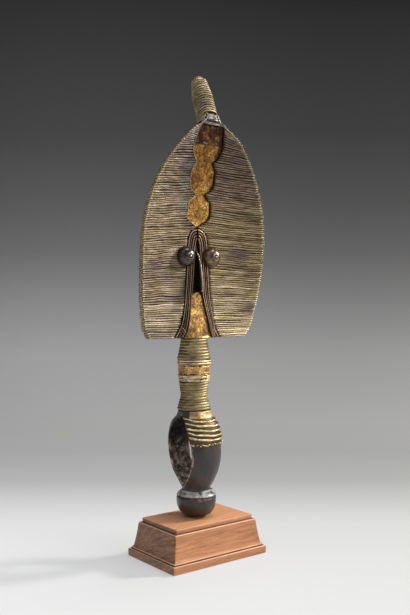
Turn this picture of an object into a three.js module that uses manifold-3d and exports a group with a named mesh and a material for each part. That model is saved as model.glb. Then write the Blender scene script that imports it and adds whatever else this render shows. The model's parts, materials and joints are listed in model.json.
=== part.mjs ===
// A reliquary figure from Gabon on its stand: a carved wooden core dressed with brass wire, sheet and nails.
// Millimetres, +Z up, the face towards -Y, the origin under the middle of the stand.
import * as THREE from "three";
import { mergeVertices } from "three/addons/utils/BufferGeometryUtils.js";
import Module from "manifold-3d";

const wasm = await Module();
wasm.setup();

// Gap that touching pieces keep
const gap = 0.3;
// How much deeper the wood's flat facets lie under the metal
const bedding = 0.3;
// Thinner triangles than this are closed up
const sliver = 0.02;
// How far the volumes of the wood that grow into each other overlap
const union = 1;

// Stand
const standTopLength = 85.5;
const standTopDepth = 52.8;
const standHeight = 34.9;
const standPlateHeight = 4;
const standLedge = 2.2;
const standSideFlare = 5.6;
const standFilletFlare = 7.2;
const standFilletHeight = 3.1;
const standFootFlare = 9.3;
const standFootHeight = 5.2;
const standFootRounding = 1.3;
const standHollow = 0.6;

// Where the neck stands on it, and how far the foot stands forward of the neck
const figureSetBack = 5.2;
const footForward = 3.4;

// Ball foot
const ballRadius = 18.2;
const ballFlatRadius = 4.5;

// Handle: a pierced spindle, egg-shaped in plan
const handleOverlap = 6.8;
const handleHeight = 72;
const handleUnderCoil = 0.8;
const handleHalfWidth = 20;
const handleFrontDepth = 24;
const handleBackDepth = 31;
const handleWidestForward = 8;
const handleBackFullness = 1.1;
const slotHeight = 62;
const slotMiddleShare = 0.497;
const slotFront = 13.6;
const slotBack = 24;

// Neck
const neckHeight = 65.3;
const neckRadius = 14.5;
const neckWireDepth = 2.2;
const neckWirePitch = 2.9;
const lowerCoilHeight = 25.2;
const twistedWireWidth = 2.7;
const neckBandHeight = 9.6;
const neckBandDepth = 1.2;
const ringProud = 0.5;
const raisedWireWidth = 1.8;
const coilToHeadGap = 2.4;
const wireRoundness = 0.32;

// Head
const headHeight = 194;
const headHalfWidth = 69.7;
const headWidestShare = 0.428;
const hollowDepth = 15.6;
const archForward = 19.5;
const rimWood = 1;
const boardThickness = 13;
const boardBelowTop = 3;
const spineHeight = 4;
const spineHalfWidth = 9;
const throatBulge = 6.5;
const throatHalfWidth = 20;
const throatRise = 42;
const throatPlateHeight = 41.7;
const throatPlateRounding = 7;

// Metal on the face
const wireLayer = 2;
const wirePitch = 2.6;
const wireDroop = 7.5;
const foldLength = 9;
const wingsBelowTop = 5.2;
const plateThickness = 0.5;
const plateBelowTop = 4;
const crownPlateHeight = 15.4;
const plateHalfWidth = 16.6;
const strandFootHalfWidth = 27;
const strandThickness = 2.6;
const strandWires = 3;
const noseThickness = 1.8;
const noseHeight = 11;
const eyeRadius = 9.6;
const eyeSpacing = 29.2;
const eyeSink = 1.9;
const eyePinRadius = 1.3;
const eyeHoleRadius = 2.4;
const eyeHoleDepth = 1.6;
const eyePinProud = 0.3;

// Topknot
const knotLength = 48.3;
const knotLean = 0.34;
const knotBehindFace = 5.2;
const knotSunk = 2.2;
const knotFootRadius = 12;
const knotRadius = 9.8;
const knotTopRadius = 6.9;
const knotWireDepth = 1.8;
const knotWirePitch = 2.6;
const knotTip = 3;
const knotPlateHeight = 11;
const knotPlateHalfWidth = 9;
const knotPlateTopHalfWidth = 5.3;
const knotPlateSide = 1;
const knotPlateProud = 0.8;
const knotPlateBelowTop = 3.4;

// Strips on the shoulder of the handle
const stripHeight = 2.2;
const stripProud = 1.4;
const sheetBelowNeck = 0.6;
const sheetHeight = 7.4;
const sheetProud = 1.4;
const beadsHeight = 1.8;
const beadsProud = 1;
const frontStrips = 5;
const frontStripPitch = 3.5;
const beadsBelow = 1.3;
const stripMargin = 1.2;
const stripEdge = 0.4;
const stripBedding = 0.5;

// Levels, from the ground up
const seat = standHeight + gap;
const ballCentre = seat + Math.sqrt(ballRadius ** 2 - ballFlatRadius ** 2);
const handleBottom = ballCentre + handleOverlap;
const handleTop = handleBottom + handleHeight;
const headBottom = handleTop + neckHeight;
const headTop = headBottom + headHeight;
const headWidest = headBottom + headWidestShare * headHeight;
const slotMiddle = handleBottom + slotMiddleShare * handleHeight;

// Depth of the wood under the face's wires, and the whole rim with wire before and behind it
const woodUnderWire = wireLayer + gap;
const rimThickness = rimWood + 2 * (woodUnderWire + bedding);

const lerp = THREE.MathUtils.lerp;
const smooth = THREE.MathUtils.smoothstep;

// A smooth curve through [place, value] pairs, as a function of the place.
function through(pairs) {
  const slope = pairs.map((pair, i) => {
    const before = pairs[Math.max(i - 1, 0)];
    const after = pairs[Math.min(i + 1, pairs.length - 1)];
    return (after[1] - before[1]) / (after[0] - before[0]);
  });
  return (place) => {
    const last = pairs.length - 2;
    let i = pairs.findIndex((pair, k) => k <= last && place <= pairs[k + 1][0]);
    i = i < 0 ? last : i;
    const span = pairs[i + 1][0] - pairs[i][0];
    const u = THREE.MathUtils.clamp((place - pairs[i][0]) / span, 0, 1);
    const rise = u * u * (3 - 2 * u);
    const bend = u * (1 - u) * span;
    const curve = slope[i] * (1 - u) - slope[i + 1] * u;
    return lerp(pairs[i][1], pairs[i + 1][1], rise) + bend * curve;
  };
}

// Geometry from points and triangles, turned so that its faces point outwards.
function closedGeometry(points, faces) {
  const volume = faces.reduce((sum, [a, b, c]) => {
    const cross = points[b].clone().cross(points[c]);
    return sum + points[a].dot(cross);
  }, 0);
  const turned = volume < 0 ? faces.map(([a, b, c]) => [a, c, b]) : faces;
  const geometry = new THREE.BufferGeometry().setFromPoints(points);
  geometry.setIndex(turned.flat());
  return geometry;
}

// Triangles between two lines of points, which may have different numbers of points.
function zip(first, second) {
  const faces = [];
  let i = 0;
  let k = 0;
  while (i < first.length - 1 || k < second.length - 1) {
    const nextFirst = (i + 1) / (first.length - 1);
    const nextSecond = (k + 1) / (second.length - 1);
    if (k === second.length - 1 || (i < first.length - 1 && nextFirst <= nextSecond)) {
      faces.push([first[i], first[i + 1], second[k]]);
      i += 1;
    } else {
      faces.push([first[i], second[k + 1], second[k]]);
      k += 1;
    }
  }
  return faces;
}

// The numbers of one skin's points, row by row.
function numbered(skin, start) {
  return skin.map((row, r) => row.map((point, c) => start + r * row.length + c));
}

// A closed body between an outer and an inner skin, each a list of rows with equally many points.
function skinBody(outer, inner) {
  const out = numbered(outer, 0);
  const ins = numbered(inner, outer.length * outer[0].length);
  const faces = [];
  for (let r = 0; r < out.length - 1; r += 1) faces.push(...zip(out[r], out[r + 1]));
  for (let r = 0; r < ins.length - 1; r += 1) faces.push(...zip(ins[r + 1], ins[r]));
  faces.push(...zip(ins[0], out[0]));
  faces.push(...zip(out.at(-1), ins.at(-1)));
  const column = (rows, c) => rows.map((row) => row.at(c));
  faces.push(...zip(column(out, 0), column(ins, 0)));
  faces.push(...zip(column(ins, -1), column(out, -1)));
  return closedGeometry([...outer.flat(), ...inner.flat()], faces);
}

// A closed body through rings that have equally many points.
function loft(rings) {
  const count = rings[0].length;
  const points = rings.flat();
  const faces = [];
  for (let r = 0; r < rings.length - 1; r += 1) {
    for (let c = 0; c < count; c += 1) {
      const a = r * count + c;
      const b = r * count + ((c + 1) % count);
      faces.push([a, b, b + count], [a, b + count, a + count]);
    }
  }
  const top = (rings.length - 1) * count;
  for (let c = 1; c < count - 1; c += 1) {
    faces.push([0, c + 1, c], [top, top + c, top + c + 1]);
  }
  return closedGeometry(points, faces);
}

// A solid of revolution about +Z from [radius, height] pairs that start and end on the axis or close.
function turned(profile, sides) {
  const points = profile.map(([radius, height]) => new THREE.Vector2(radius, height));
  const geometry = new THREE.LatheGeometry(points, sides);
  return geometry.rotateX(Math.PI / 2);
}

function solidOf(geometry) {
  const bare = geometry.clone();
  bare.deleteAttribute("normal");
  bare.deleteAttribute("uv");
  const merged = mergeVertices(bare, 1e-4);
  const solid = new wasm.Manifold(
    new wasm.Mesh({
      numProp: 3,
      vertProperties: merged.attributes.position.array,
      triVerts: new Uint32Array(merged.index.array),
    }),
  );
  return solid;
}

function geometryOf(solid) {
  const mesh = solid.getMesh();
  const geometry = new THREE.BufferGeometry();
  geometry.setAttribute("position", new THREE.BufferAttribute(mesh.vertProperties, 3));
  geometry.setIndex(new THREE.BufferAttribute(mesh.triVerts, 1));
  return geometry;
}

// Finishes
const darkWood = { color: 0x2b1c15, roughness: 0.45, metalness: 0 };
const standWood = { color: 0x8a5438, roughness: 0.5, metalness: 0 };
const brass = { color: 0xa08c5a, roughness: 0.42, metalness: 0.9 };
const goldenBrass = { color: 0xc59a4a, roughness: 0.45, metalness: 0.85 };
const copper = { color: 0x5e3526, roughness: 0.5, metalness: 0.8 };
const darkIron = { color: 0x3a3532, roughness: 0.4, metalness: 0.9 };

const figure = new THREE.Group();
const part = new THREE.Group();
part.add(figure);

function place(name, geometry, finish, parent = part) {
  const mesh = new THREE.Mesh(geometry, new THREE.MeshStandardMaterial(finish));
  mesh.name = name;
  parent.add(mesh);
  return mesh;
}

// Stand: rectangular rings from the foot to the top
function standBody() {
  const sideBottom = standFootHeight + standFilletHeight;
  const sideTop = standHeight - standPlateHeight;
  const profile = [
    [0, standFootFlare - standFootRounding],
    [standFootRounding, standFootFlare],
    [standFootHeight - standFootRounding, standFootFlare],
    [standFootHeight, standFootFlare - standFootRounding],
    [standFootHeight, standFilletFlare],
    [standFootHeight + 0.65 * standFilletHeight, standFilletFlare],
    [sideBottom, standSideFlare],
  ];
  const sideSteps = 4;
  for (let i = 1; i <= sideSteps; i += 1) {
    const share = i / sideSteps;
    const hollow = standHollow * Math.sin(Math.PI * share);
    const flare = lerp(standSideFlare, standLedge, share) - hollow;
    profile.push([lerp(sideBottom, sideTop, share), flare]);
  }
  profile.push([sideTop, 0], [standHeight, 0]);
  const rings = profile.map(([height, flare]) => {
    const x = standTopLength / 2 + flare;
    const y = standTopDepth / 2 + flare;
    return [
      new THREE.Vector3(-x, -y, height),
      new THREE.Vector3(x, -y, height),
      new THREE.Vector3(x, y, height),
      new THREE.Vector3(-x, y, height),
    ];
  });
  return loft(rings);
}

place("stand_base", standBody(), standWood);

// Everything else stands behind the middle of the stand; the neck's axis is x = 0, y = 0 in this group.
figure.position.y = figureSetBack;

// How far the axis of the foot and of the handle stands from the neck's, forward being negative
function leanAt(z) {
  return -footForward * Math.max((handleTop - z) / (handleTop - ballCentre), 0);
}

// Half width of the handle's outline in the photograph's direction, as a share of its mean at the middle.
const handleSwell = through([
  [0, 0.56],
  [0.1, 0.73],
  [0.25, 0.9],
  [0.42, 1],
  [0.55, 1.025],
  [0.7, 1],
  [0.82, 0.9],
  [0.92, 0.76],
  [1, 0.66],
]);

// Radius of the neck over its windings, as a share of its mean.
const neckSwell = through([
  [0, 1.2],
  [0.1, 0.97],
  [0.2, 0.87],
  [0.28, 0.91],
  [0.36, 0.96],
  [0.46, 1.07],
  [0.69, 1.09],
  [0.8, 1],
  [0.88, 0.93],
  [1, 0.84],
]);

function neckOuter(z) {
  return neckRadius * neckSwell((z - handleTop) / neckHeight);
}

// Radius of the wooden column, where it is round.
function columnRadius(z) {
  return neckOuter(z) - neckWireDepth - gap - bedding;
}

// The plan is egg-shaped between the round foot and the round neck, in shares of the handle's height.
const eggWhole = 0.24;
const eggLoses = 0.82;
const eggGone = 1.02;

// A point of the handle's surface at a height and an angle; -90 degrees is the front.
function handlePoint(angle, z, proud = 0) {
  const share = (z - handleBottom) / handleHeight;
  const swell = handleSwell(share);
  const egg = smooth(share, 0, eggWhole) * (1 - smooth(share, eggLoses, eggGone));
  const sine = Math.sin(angle);
  const cosine = Math.cos(angle);
  const full = sine < 0 ? 1 : 1 / handleBackFullness;
  const depth = sine < 0 ? handleFrontDepth - handleWidestForward : handleBackDepth + handleWidestForward;
  const eggX = swell * handleHalfWidth * Math.sign(cosine) * Math.abs(cosine) ** full;
  const eggY = swell * (depth * Math.sign(sine) * Math.abs(sine) ** full - handleWidestForward);
  const underCoil = neckOuter(handleTop) - handleUnderCoil;
  const round = share > 0.5 ? underCoil : swell * (handleHalfWidth + handleFrontDepth) / 2;
  const x = lerp(round * cosine, eggX, egg);
  const y = lerp(round * sine, eggY, egg);
  const length = Math.hypot(x, y);
  return new THREE.Vector3(x * (1 + proud / length), y * (1 + proud / length) + leanAt(z), z);
}

// How open the pierced opening is at a height, from 0 at its ends to 1: a lens with round ends.
function slotOpen(z) {
  const share = Math.min(Math.abs((z - slotMiddle) / (slotHeight / 2)), 1);
  return Math.pow(1 - Math.pow(share, 2.2), 0.9);
}

function slotEdge(z, front) {
  return (front ? -slotFront : slotBack) * slotOpen(z) + leanAt(z);
}

// An outline drawn in Y and Z, pushed along X on both sides of the middle.
function pushedAlongX(outline, length) {
  const body = new THREE.ExtrudeGeometry(outline, { depth: length, bevelEnabled: false });
  body.translate(0, 0, -length / 2);
  const turn = new THREE.Matrix4().makeBasis(
    new THREE.Vector3(0, 1, 0),
    new THREE.Vector3(0, 0, 1),
    new THREE.Vector3(1, 0, 0),
  );
  return body.applyMatrix4(turn);
}

function slotBody() {
  const steps = 9;
  const heightAt = (i) => slotMiddle + (slotHeight / 2) * Math.sin((Math.PI / 2) * (i / steps));
  const points = [];
  for (let i = -steps; i <= steps; i += 1) {
    const z = heightAt(i);
    points.push(new THREE.Vector2(slotEdge(z, true), z));
  }
  for (let i = steps - 1; i > -steps; i -= 1) {
    const z = heightAt(i);
    points.push(new THREE.Vector2(slotEdge(z, false), z));
  }
  return pushedAlongX(new THREE.Shape(points), 4 * handleHalfWidth);
}

const columnSides = 16;

function ringAt(z, pointAt) {
  const ring = [];
  for (let i = 0; i < columnSides; i += 1) {
    ring.push(pointAt((2 * Math.PI * i) / columnSides, z));
  }
  return ring;
}

function roundPoint(angle, z) {
  const radius = columnRadius(z);
  return new THREE.Vector3(radius * Math.cos(angle), radius * Math.sin(angle), z);
}

function columnBody() {
  const rings = [];
  const handleSteps = 13;
  for (let i = 0; i <= handleSteps; i += 1) {
    rings.push(ringAt(handleBottom + (handleHeight * i) / handleSteps, handlePoint));
  }
  const neckSteps = 9;
  for (let i = 0; i <= neckSteps; i += 1) {
    rings.push(ringAt(handleTop + (neckHeight * i) / neckSteps, roundPoint));
  }
  return loft(rings);
}

function ballBody() {
  const profile = [[0, seat]];
  const steps = 9;
  const first = -Math.acos(ballFlatRadius / ballRadius);
  const last = Math.asin((handleOverlap + union) / ballRadius);
  for (let i = 0; i <= steps; i += 1) {
    const angle = lerp(first, last, i / steps);
    profile.push([ballRadius * Math.cos(angle), ballCentre + ballRadius * Math.sin(angle)]);
  }
  profile.push([0, handleBottom + union]);
  return turned(profile, columnSides).translate(0, leanAt(ballCentre), 0);
}

// Head
// Half width of the head over the wires at a height.
function headHalf(z) {
  if (z >= headWidest) {
    const up = Math.min((z - headWidest) / (headTop + 1 - headWidest), 1);
    return headHalfWidth * Math.pow(1 - up * up, 2 / 3);
  }
  const down = (headWidest - z) / (headWidest - headBottom);
  const corner = 0.045 * smooth(down, 0.88, 1);
  return headHalfWidth * (1 - 0.17 * Math.pow(down, 1.9) - corner);
}

// How far the middle of the face arches forward at a height.
function archAt(z) {
  const share = (z - headBottom) / headHeight;
  const bend = Math.max((share - 0.53) / 0.443, 0);
  return -archForward * Math.pow(bend, 1.7);
}

// Depth of the hollow at a height, from nearly flat at the lower edge.
const hollowShare = through([
  [0, 0.1],
  [0.17, 0.46],
  [0.33, 0.85],
  [0.43, 1],
  [0.6, 1.12],
  [0.78, 0.95],
  [0.91, 0.74],
  [0.96, 0.42],
  [1, 0.14],
]);

// The face over the wires: y at a place across and a height, before the set back of the figure.
function faceAt(x, z) {
  const share = (z - headBottom) / headHeight;
  const across = Math.min(Math.abs(x) / headHalf(z), 1);
  const hollow = hollowDepth * hollowShare(share) * across * across;
  return archAt(z) - hollow - figureSetBack;
}

// The throat swells forward over the top of the neck.
function throatAt(x, z) {
  const rise = 1 - smooth(z, headBottom - 1, headBottom + throatRise);
  const across = Math.max(1 - (x / throatHalfWidth) ** 2, 0);
  return -throatBulge * rise * across;
}

function boardFront(x, z) {
  return faceAt(x, z) + throatAt(x, z) + woodUnderWire;
}

// The back of the board, with its upright spine.
function boardBack(x, z) {
  const across = Math.min(Math.abs(x) / (headHalf(z) - woodUnderWire), 1);
  const rim = faceAt(headHalf(z), z) + rimThickness - woodUnderWire;
  const middle = archAt(z) - figureSetBack + wireLayer + boardThickness;
  const spine = spineHeight * Math.max(1 - Math.abs(x) / spineHalfWidth, 0);
  return lerp(middle, rim, across ** 1.6) + spine;
}

function boardBody() {
  const steps = 15;
  const last = headTop - boardBelowTop;
  const front = [];
  const back = [];
  for (let i = 0; i <= steps; i += 1) {
    const z = lerp(headBottom, last, (1 - Math.cos((Math.PI * i) / steps)) / 2);
    const half = headHalf(z) - woodUnderWire - bedding;
    const throat = Math.min(throatHalfWidth, 0.4 * half);
    const right = [0, throat / 2, throat, 0.55 * half, 0.78 * half, half];
    const places = [...right.slice(1).reverse().map((x) => -x), ...right];
    const surface = (side) => places.map((x) => new THREE.Vector3(x, side(x, z), z));
    front.push(surface((x) => boardFront(x, z) + 2 * bedding));
    back.push(surface((x) => boardBack(x, z)));
  }
  return skinBody(front, back);
}

// Topknot: a frame whose +Z runs up its leaning axis
const knot = new THREE.Group();
knot.position.set(0, archAt(headTop) + knotBehindFace - figureSetBack, headTop - knotSunk);
knot.rotation.x = -knotLean;
figure.add(knot);
knot.updateMatrix();

const knotSwell = through([
  [0, knotFootRadius],
  [0.09, knotRadius * 1.05],
  [0.22, knotRadius],
  [0.5, knotRadius],
  [0.75, knotRadius * 0.91],
  [1, knotTopRadius],
]);

function knotOuter(along) {
  return knotSwell(along / (knotLength - knotTip));
}

function knotCore() {
  const steps = 6;
  const profile = [[0, -union]];
  for (let i = 0; i <= steps; i += 1) {
    const along = (knotLength - knotTip) * (i / steps) ** 1.6;
    profile.push([knotOuter(along) - knotWireDepth - gap - 2 * bedding, i ? along : -union]);
  }
  const top = knotTopRadius - knotWireDepth;
  profile.push([top - gap, knotLength - knotTip / 3], [0, knotLength]);
  return turned(profile, 12).applyMatrix4(knot.matrix);
}

// The room that the topknot's winding takes at its foot, cut out of the top of the board
function knotRoom() {
  const high = 0.3 * knotLength;
  const inner = knotOuter(high) - knotWireDepth - gap - 2 * bedding;
  const outer = 1.5 * knotFootRadius;
  const profile = [[inner, -2 * gap], [outer, -2 * gap], [outer, high], [inner, high], [inner, -2 * gap]];
  return turned(profile, 18).applyMatrix4(knot.matrix);
}

// The small plate's outline, grown by a margin all round, pushed forward from a depth.
function knotPlateBody(margin, depth, thickness) {
  const low = headTop - knotPlateBelowTop - margin;
  const high = headTop - knotPlateBelowTop + knotPlateHeight + margin;
  const foot = knotPlateHalfWidth + margin;
  const top = knotPlateTopHalfWidth + margin;
  const corners = [[-foot, low], [foot, low], [top, high], [-top, high]];
  const outline = new THREE.Shape(corners.map(([x, z]) => new THREE.Vector2(x, z)));
  const body = new THREE.ExtrudeGeometry(outline, { depth: thickness, bevelEnabled: false });
  return body.rotateX(Math.PI / 2).translate(0, depth, 0);
}

// The place of the small plate, cut from the front of the topknot's foot
const knotPlateBack = archAt(headTop) - knotPlateProud - figureSetBack;
function knotNotch() {
  return knotPlateBody(knotPlateSide, knotPlateBack, 3 * knotFootRadius);
}

function coreBody() {
  const column = solidOf(columnBody()).subtract(solidOf(slotBody()));
  const board = solidOf(boardBody()).subtract(solidOf(knotRoom()));
  const figureWood = column.add(solidOf(ballBody())).add(board).add(solidOf(knotCore()));
  // Cutting leaves a few slivers, which are closed up.
  return geometryOf(figureWood.subtract(solidOf(knotNotch())).asOriginal().simplify(sliver));
}

place("wooden_core", coreBody(), darkWood, figure);

// The lobes of the plate between the wires: from and to in shares of the head's height, and their
// half width and that of the waist above, in shares of the widest.
const lobes = [
  { from: 0.524, to: 0.673, half: 0.795, waist: 0.277 },
  { from: 0.673, to: 0.82, half: 0.867, waist: 0.542 },
  { from: 0.82, to: 0.99, half: 1, waist: 0.542 },
];
const lobeTip = 0.036;
const plateFoot = headBottom + lobes[0].from * headHeight;

function plateHalf(z) {
  const share = (z - headBottom) / headHeight;
  const lobe = lobes.find((each) => share <= each.to) ?? lobes.at(-1);
  const below = lobes[lobes.indexOf(lobe) - 1];
  const along = THREE.MathUtils.clamp((share - lobe.from) / (lobe.to - lobe.from), 0, 1);
  const waist = lerp(below ? below.waist : lobeTip, lobe.waist, along);
  const full = Math.pow(Math.sin(Math.PI * along), 0.5);
  return plateHalfWidth * lerp(waist, lobe.half, full);
}

// Outer and inner half width of the two strands below the brows, in shares of that at their foot.
const outerShare = through([
  [0, 1],
  [0.05, 0.767],
  [0.11, 0.652],
  [0.19, 0.556],
  [0.32, 0.489],
  [0.46, 0.43],
  [0.495, 0.311],
  [0.515, 0.133],
]);
const innerShare = through([
  [0, 0.574],
  [0.05, 0.441],
  [0.14, 0.322],
  [0.21, 0.252],
  [0.32, 0.185],
  [0.4, 0.133],
  [0.46, 0.056],
  [0.515, 0.026],
]);

function strandOuter(share) {
  return strandFootHalfWidth * outerShare(share);
}

function strandInner(share) {
  return strandFootHalfWidth * innerShare(share);
}

// Inner edge of the wires at a height.
function wiresStart(z) {
  const share = (z - headBottom) / headHeight;
  if (z >= plateFoot) return plateHalf(z) + gap;
  return Math.max(strandOuter(share), 1) + gap;
}

// One wing of wires, on the side of x = side: ridged outside, plain against the board.
function wingBody(side) {
  const lowest = headBottom + gap;
  const highest = headTop - wingsBelowTop;
  const wires = Math.round((highest - lowest) / wirePitch);
  const ridge = wireRoundness * wireLayer;
  const line = (share, sink, thick) => {
    const inner = lerp(lowest, highest, share);
    const droop = wireDroop * Math.sin(Math.PI * Math.pow(share, 1.4));
    const rimZ = inner - droop;
    const under = Math.min(plateHalfWidth + 2 * gap, headHalf(rimZ) - 2 * wireLayer);
    const start = thick && inner > plateFoot - 2 * wirePitch ? under : wiresStart(inner);
    const half = headHalf(rimZ) - sink;
    const points = [0, 0.55].map((across) => {
      const x = lerp(start, half, across);
      const z = lerp(inner, rimZ, across);
      return new THREE.Vector3(side * x, faceAt(x, z) + throatAt(x, z) + sink + thick, z);
    });
    const rimFront = faceAt(headHalf(rimZ), rimZ);
    const rimBack = rimFront + rimThickness;
    points.push(new THREE.Vector3(side * (half - thick), rimFront + sink + thick, rimZ));
    points.push(new THREE.Vector3(side * (half - thick), rimBack - sink - thick, rimZ));
    const end = headHalf(rimZ) - Math.min(foldLength, 0.5 * headHalf(rimZ));
    const fold = boardBack(end, rimZ) + gap + bedding + wireLayer - sink - thick;
    points.push(new THREE.Vector3(side * end, fold, rimZ));
    return points;
  };
  const outer = [];
  for (let i = 0; i <= 2 * wires; i += 1) {
    outer.push(line(i / (2 * wires), i % 2 ? 0 : ridge, 0));
  }
  const inner = [];
  const plainRows = 28;
  for (let i = 0; i <= plainRows; i += 1) {
    inner.push(line(i / plainRows, 0, wireLayer));
  }
  return skinBody(outer, inner);
}

place("face_wires_left", wingBody(-1), brass, figure);
place("face_wires_right", wingBody(1), brass, figure);

// A thin plate laid on the board through a list of heights, as wide as a half width function says.
function plateBody(heights, halfAt) {
  const skin = (thick) => heights.map((z) => {
    const half = halfAt(z);
    return [-half, 0, half].map((x) => new THREE.Vector3(x, boardFront(x, z) - gap - thick, z));
  });
  return skinBody(skin(plateThickness), skin(0));
}

function evenHeights(low, high, rows) {
  return Array.from({ length: rows + 1 }, (unused, i) => lerp(low, high, i / rows));
}

const plateJoin = headTop - crownPlateHeight - plateBelowTop;
const plateTop = headTop - plateBelowTop;

// Heights that crowd together towards each waist between two lobes
function lobedHeights() {
  const heights = [plateFoot];
  const steps = 8;
  for (const { from, to } of lobes) {
    for (let i = 1; i <= steps; i += 1) {
      const share = lerp(from, to, (1 - Math.cos((Math.PI * i) / steps)) / 2);
      heights.push(headBottom + share * headHeight);
    }
  }
  return [...heights.filter((z) => z < plateJoin - 2 * gap), plateJoin - gap];
}

const golden = plateBody(lobedHeights(), (z) => Math.max(plateHalf(z) - gap, 0.5));
place("face_plate", golden, goldenBrass, figure);
const crownHeights = evenHeights(plateJoin, plateTop, 4);
function crownHalf(z) {
  return Math.min(plateHalf(z) - 2 * gap, headHalf(z) - 2 * wireLayer - 3 * gap);
}
place("crown_plate", plateBody(crownHeights, crownHalf), copper, figure);

// Throat plate, with a rounded top under the nose
const throatTop = headBottom + throatPlateHeight;
function throatHalf(z) {
  const share = (z - headBottom) / headHeight;
  const down = Math.min((throatTop - z) / throatPlateRounding, 1);
  return Math.max((strandInner(share) - gap) * Math.sqrt(Math.max(down, 0.02)), 0.8);
}
const throat = plateBody(evenHeights(headBottom, throatTop, 9), throatHalf);
place("throat_plate", throat, goldenBrass, figure);

// One strand of brow wires: ridges side by side from the apex down to the flared foot.
function strandBody(side) {
  const low = headBottom + gap;
  const high = headBottom + 0.515 * headHeight;
  const rows = 13;
  const skin = (thick, ridged) => {
    const lines = [];
    for (let i = 0; i <= rows; i += 1) {
      const z = lerp(low, high, 1 - Math.pow(1 - i / rows, 1.35));
      const share = (z - headBottom) / headHeight;
      const outer = strandOuter(share) - 2 * gap;
      const inner = Math.min(strandInner(share), outer - 1);
      const points = [];
      const columns = ridged ? 2 * strandWires : 2;
      for (let k = 0; k <= columns; k += 1) {
        const x = lerp(inner, outer, k / columns);
        const sink = ridged && k % 2 === 0 ? wireRoundness * strandThickness : 0;
        points.push(new THREE.Vector3(side * x, boardFront(x, z) - gap - thick + sink, z));
      }
      lines.push(points);
    }
    return lines;
  };
  return skinBody(skin(strandThickness, true), skin(0, false));
}

place("brow_wires_left", strandBody(-1), brass, figure);
place("brow_wires_right", strandBody(1), brass, figure);

// Nose: an upright blade on the middle of the face
function noseBody() {
  const root = (z) => boardFront(0, z) - gap;
  const high = headBottom + 0.405 * headHeight;
  const low = throatTop + gap;
  const outline = new THREE.Shape();
  outline.moveTo(root(low), low);
  outline.lineTo(root(low) - noseHeight, low + 1.5);
  outline.lineTo(root(low) - 0.92 * noseHeight, lerp(low, high, 0.25));
  outline.lineTo(root(high) - 0.6 * noseHeight, lerp(low, high, 0.75));
  outline.lineTo(root(high) - 0.12 * noseHeight, high);
  outline.lineTo(root(high), high);
  return pushedAlongX(outline, noseThickness);
}

place("nose_blade", noseBody(), darkIron, figure);

// Eyes: domes with a pin in a small round hole; their frame's +Z points out of the face
const eyeHeight = headBottom + 0.381 * headHeight;
for (const [name, side] of [["left", -1], ["right", 1]]) {
  const eye = new THREE.Group();
  const x = eyeSpacing / 2;
  const strandFront = boardFront(x, eyeHeight) - gap - strandThickness;
  const ground = Math.min(strandFront, faceAt(x + eyeRadius, eyeHeight - eyeRadius) - gap);
  eye.position.set(side * x, ground - gap + eyeSink, eyeHeight);
  eye.rotation.x = Math.PI / 2;
  figure.add(eye);
  const holeFloor = eyeRadius - eyeHoleDepth;
  const profile = [[0, eyeSink], [Math.sqrt(eyeRadius ** 2 - eyeSink ** 2), eyeSink]];
  const steps = 5;
  const first = Math.asin(eyeSink / eyeRadius);
  const last = Math.acos(eyeHoleRadius / eyeRadius);
  for (let i = 1; i <= steps; i += 1) {
    const angle = lerp(first, last, i / steps);
    profile.push([eyeRadius * Math.cos(angle), eyeRadius * Math.sin(angle)]);
  }
  profile.push([eyeHoleRadius, holeFloor], [0, holeFloor]);
  place(`eye_dome_${name}`, turned(profile, 12), darkIron, eye);
  const pinFoot = holeFloor + gap;
  const pinTop = eyeRadius + eyePinProud;
  const pin = [
    [0, pinFoot],
    [eyePinRadius, pinFoot],
    [eyePinRadius, pinTop - 0.4 * eyePinRadius],
    [0.6 * eyePinRadius, pinTop],
    [0, pinTop],
  ];
  place(`eye_pin_${name}`, turned(pin, 8), brass, eye);
}

// A sleeve of wire turns between two heights: ridged outside, plain inside, seen in its own frame.
function coilProfile(low, high, pitch, outerAt, depth) {
  const turns = Math.max(Math.round((high - low) / pitch), 1);
  const profile = [];
  for (let i = 0; i <= 2 * turns; i += 1) {
    const z = lerp(low, high, i / (2 * turns));
    profile.push([outerAt(z) - (i % 2 ? 0 : wireRoundness * depth), z]);
  }
  const innerSteps = Math.max(Math.ceil(turns / 3), 1);
  for (let i = innerSteps; i >= 0; i -= 1) {
    const z = lerp(low, high, i / innerSteps);
    profile.push([outerAt(z) - depth, z]);
  }
  profile.push(profile[0]);
  return profile;
}

const neckSides = 14;

// The neck's dressing, from the shoulder up
let level = handleTop;
function neckPiece(name, height, profileAt, finish) {
  const low = level + gap;
  const high = low + height;
  place(name, turned(profileAt(low, high), neckSides), finish, figure);
  level = high;
}

function neckCoil(low, high) {
  return coilProfile(low, high, neckWirePitch, neckOuter, neckWireDepth);
}

function neckRing(low, high) {
  const middle = (low + high) / 2;
  const inner = neckOuter(middle) - neckWireDepth + gap;
  const outer = neckOuter(middle) + ringProud;
  const bevel = 0.3 * (high - low);
  return [[inner, low], [outer, low + bevel], [outer, high - bevel], [inner, high], [inner, low]];
}

function neckStrap(low, high) {
  const inner = Math.max(neckOuter(low), neckOuter(high)) - neckBandDepth;
  const outer = inner + neckBandDepth;
  return [[inner, low], [outer, low], [outer, high], [inner, high], [inner, low]];
}

neckPiece("neck_wire_lower", lowerCoilHeight, neckCoil, brass);
neckPiece("neck_wire_twisted_1", twistedWireWidth, neckRing, brass);
neckPiece("neck_wire_twisted_2", twistedWireWidth, neckRing, brass);
neckPiece("neck_band", neckBandHeight, neckStrap, goldenBrass);
neckPiece("neck_wire_raised_1", raisedWireWidth, neckRing, brass);
neckPiece("neck_wire_raised_2", raisedWireWidth, neckRing, brass);
neckPiece("neck_wire_upper", headBottom - coilToHeadGap - level - gap, neckCoil, brass);

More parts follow.
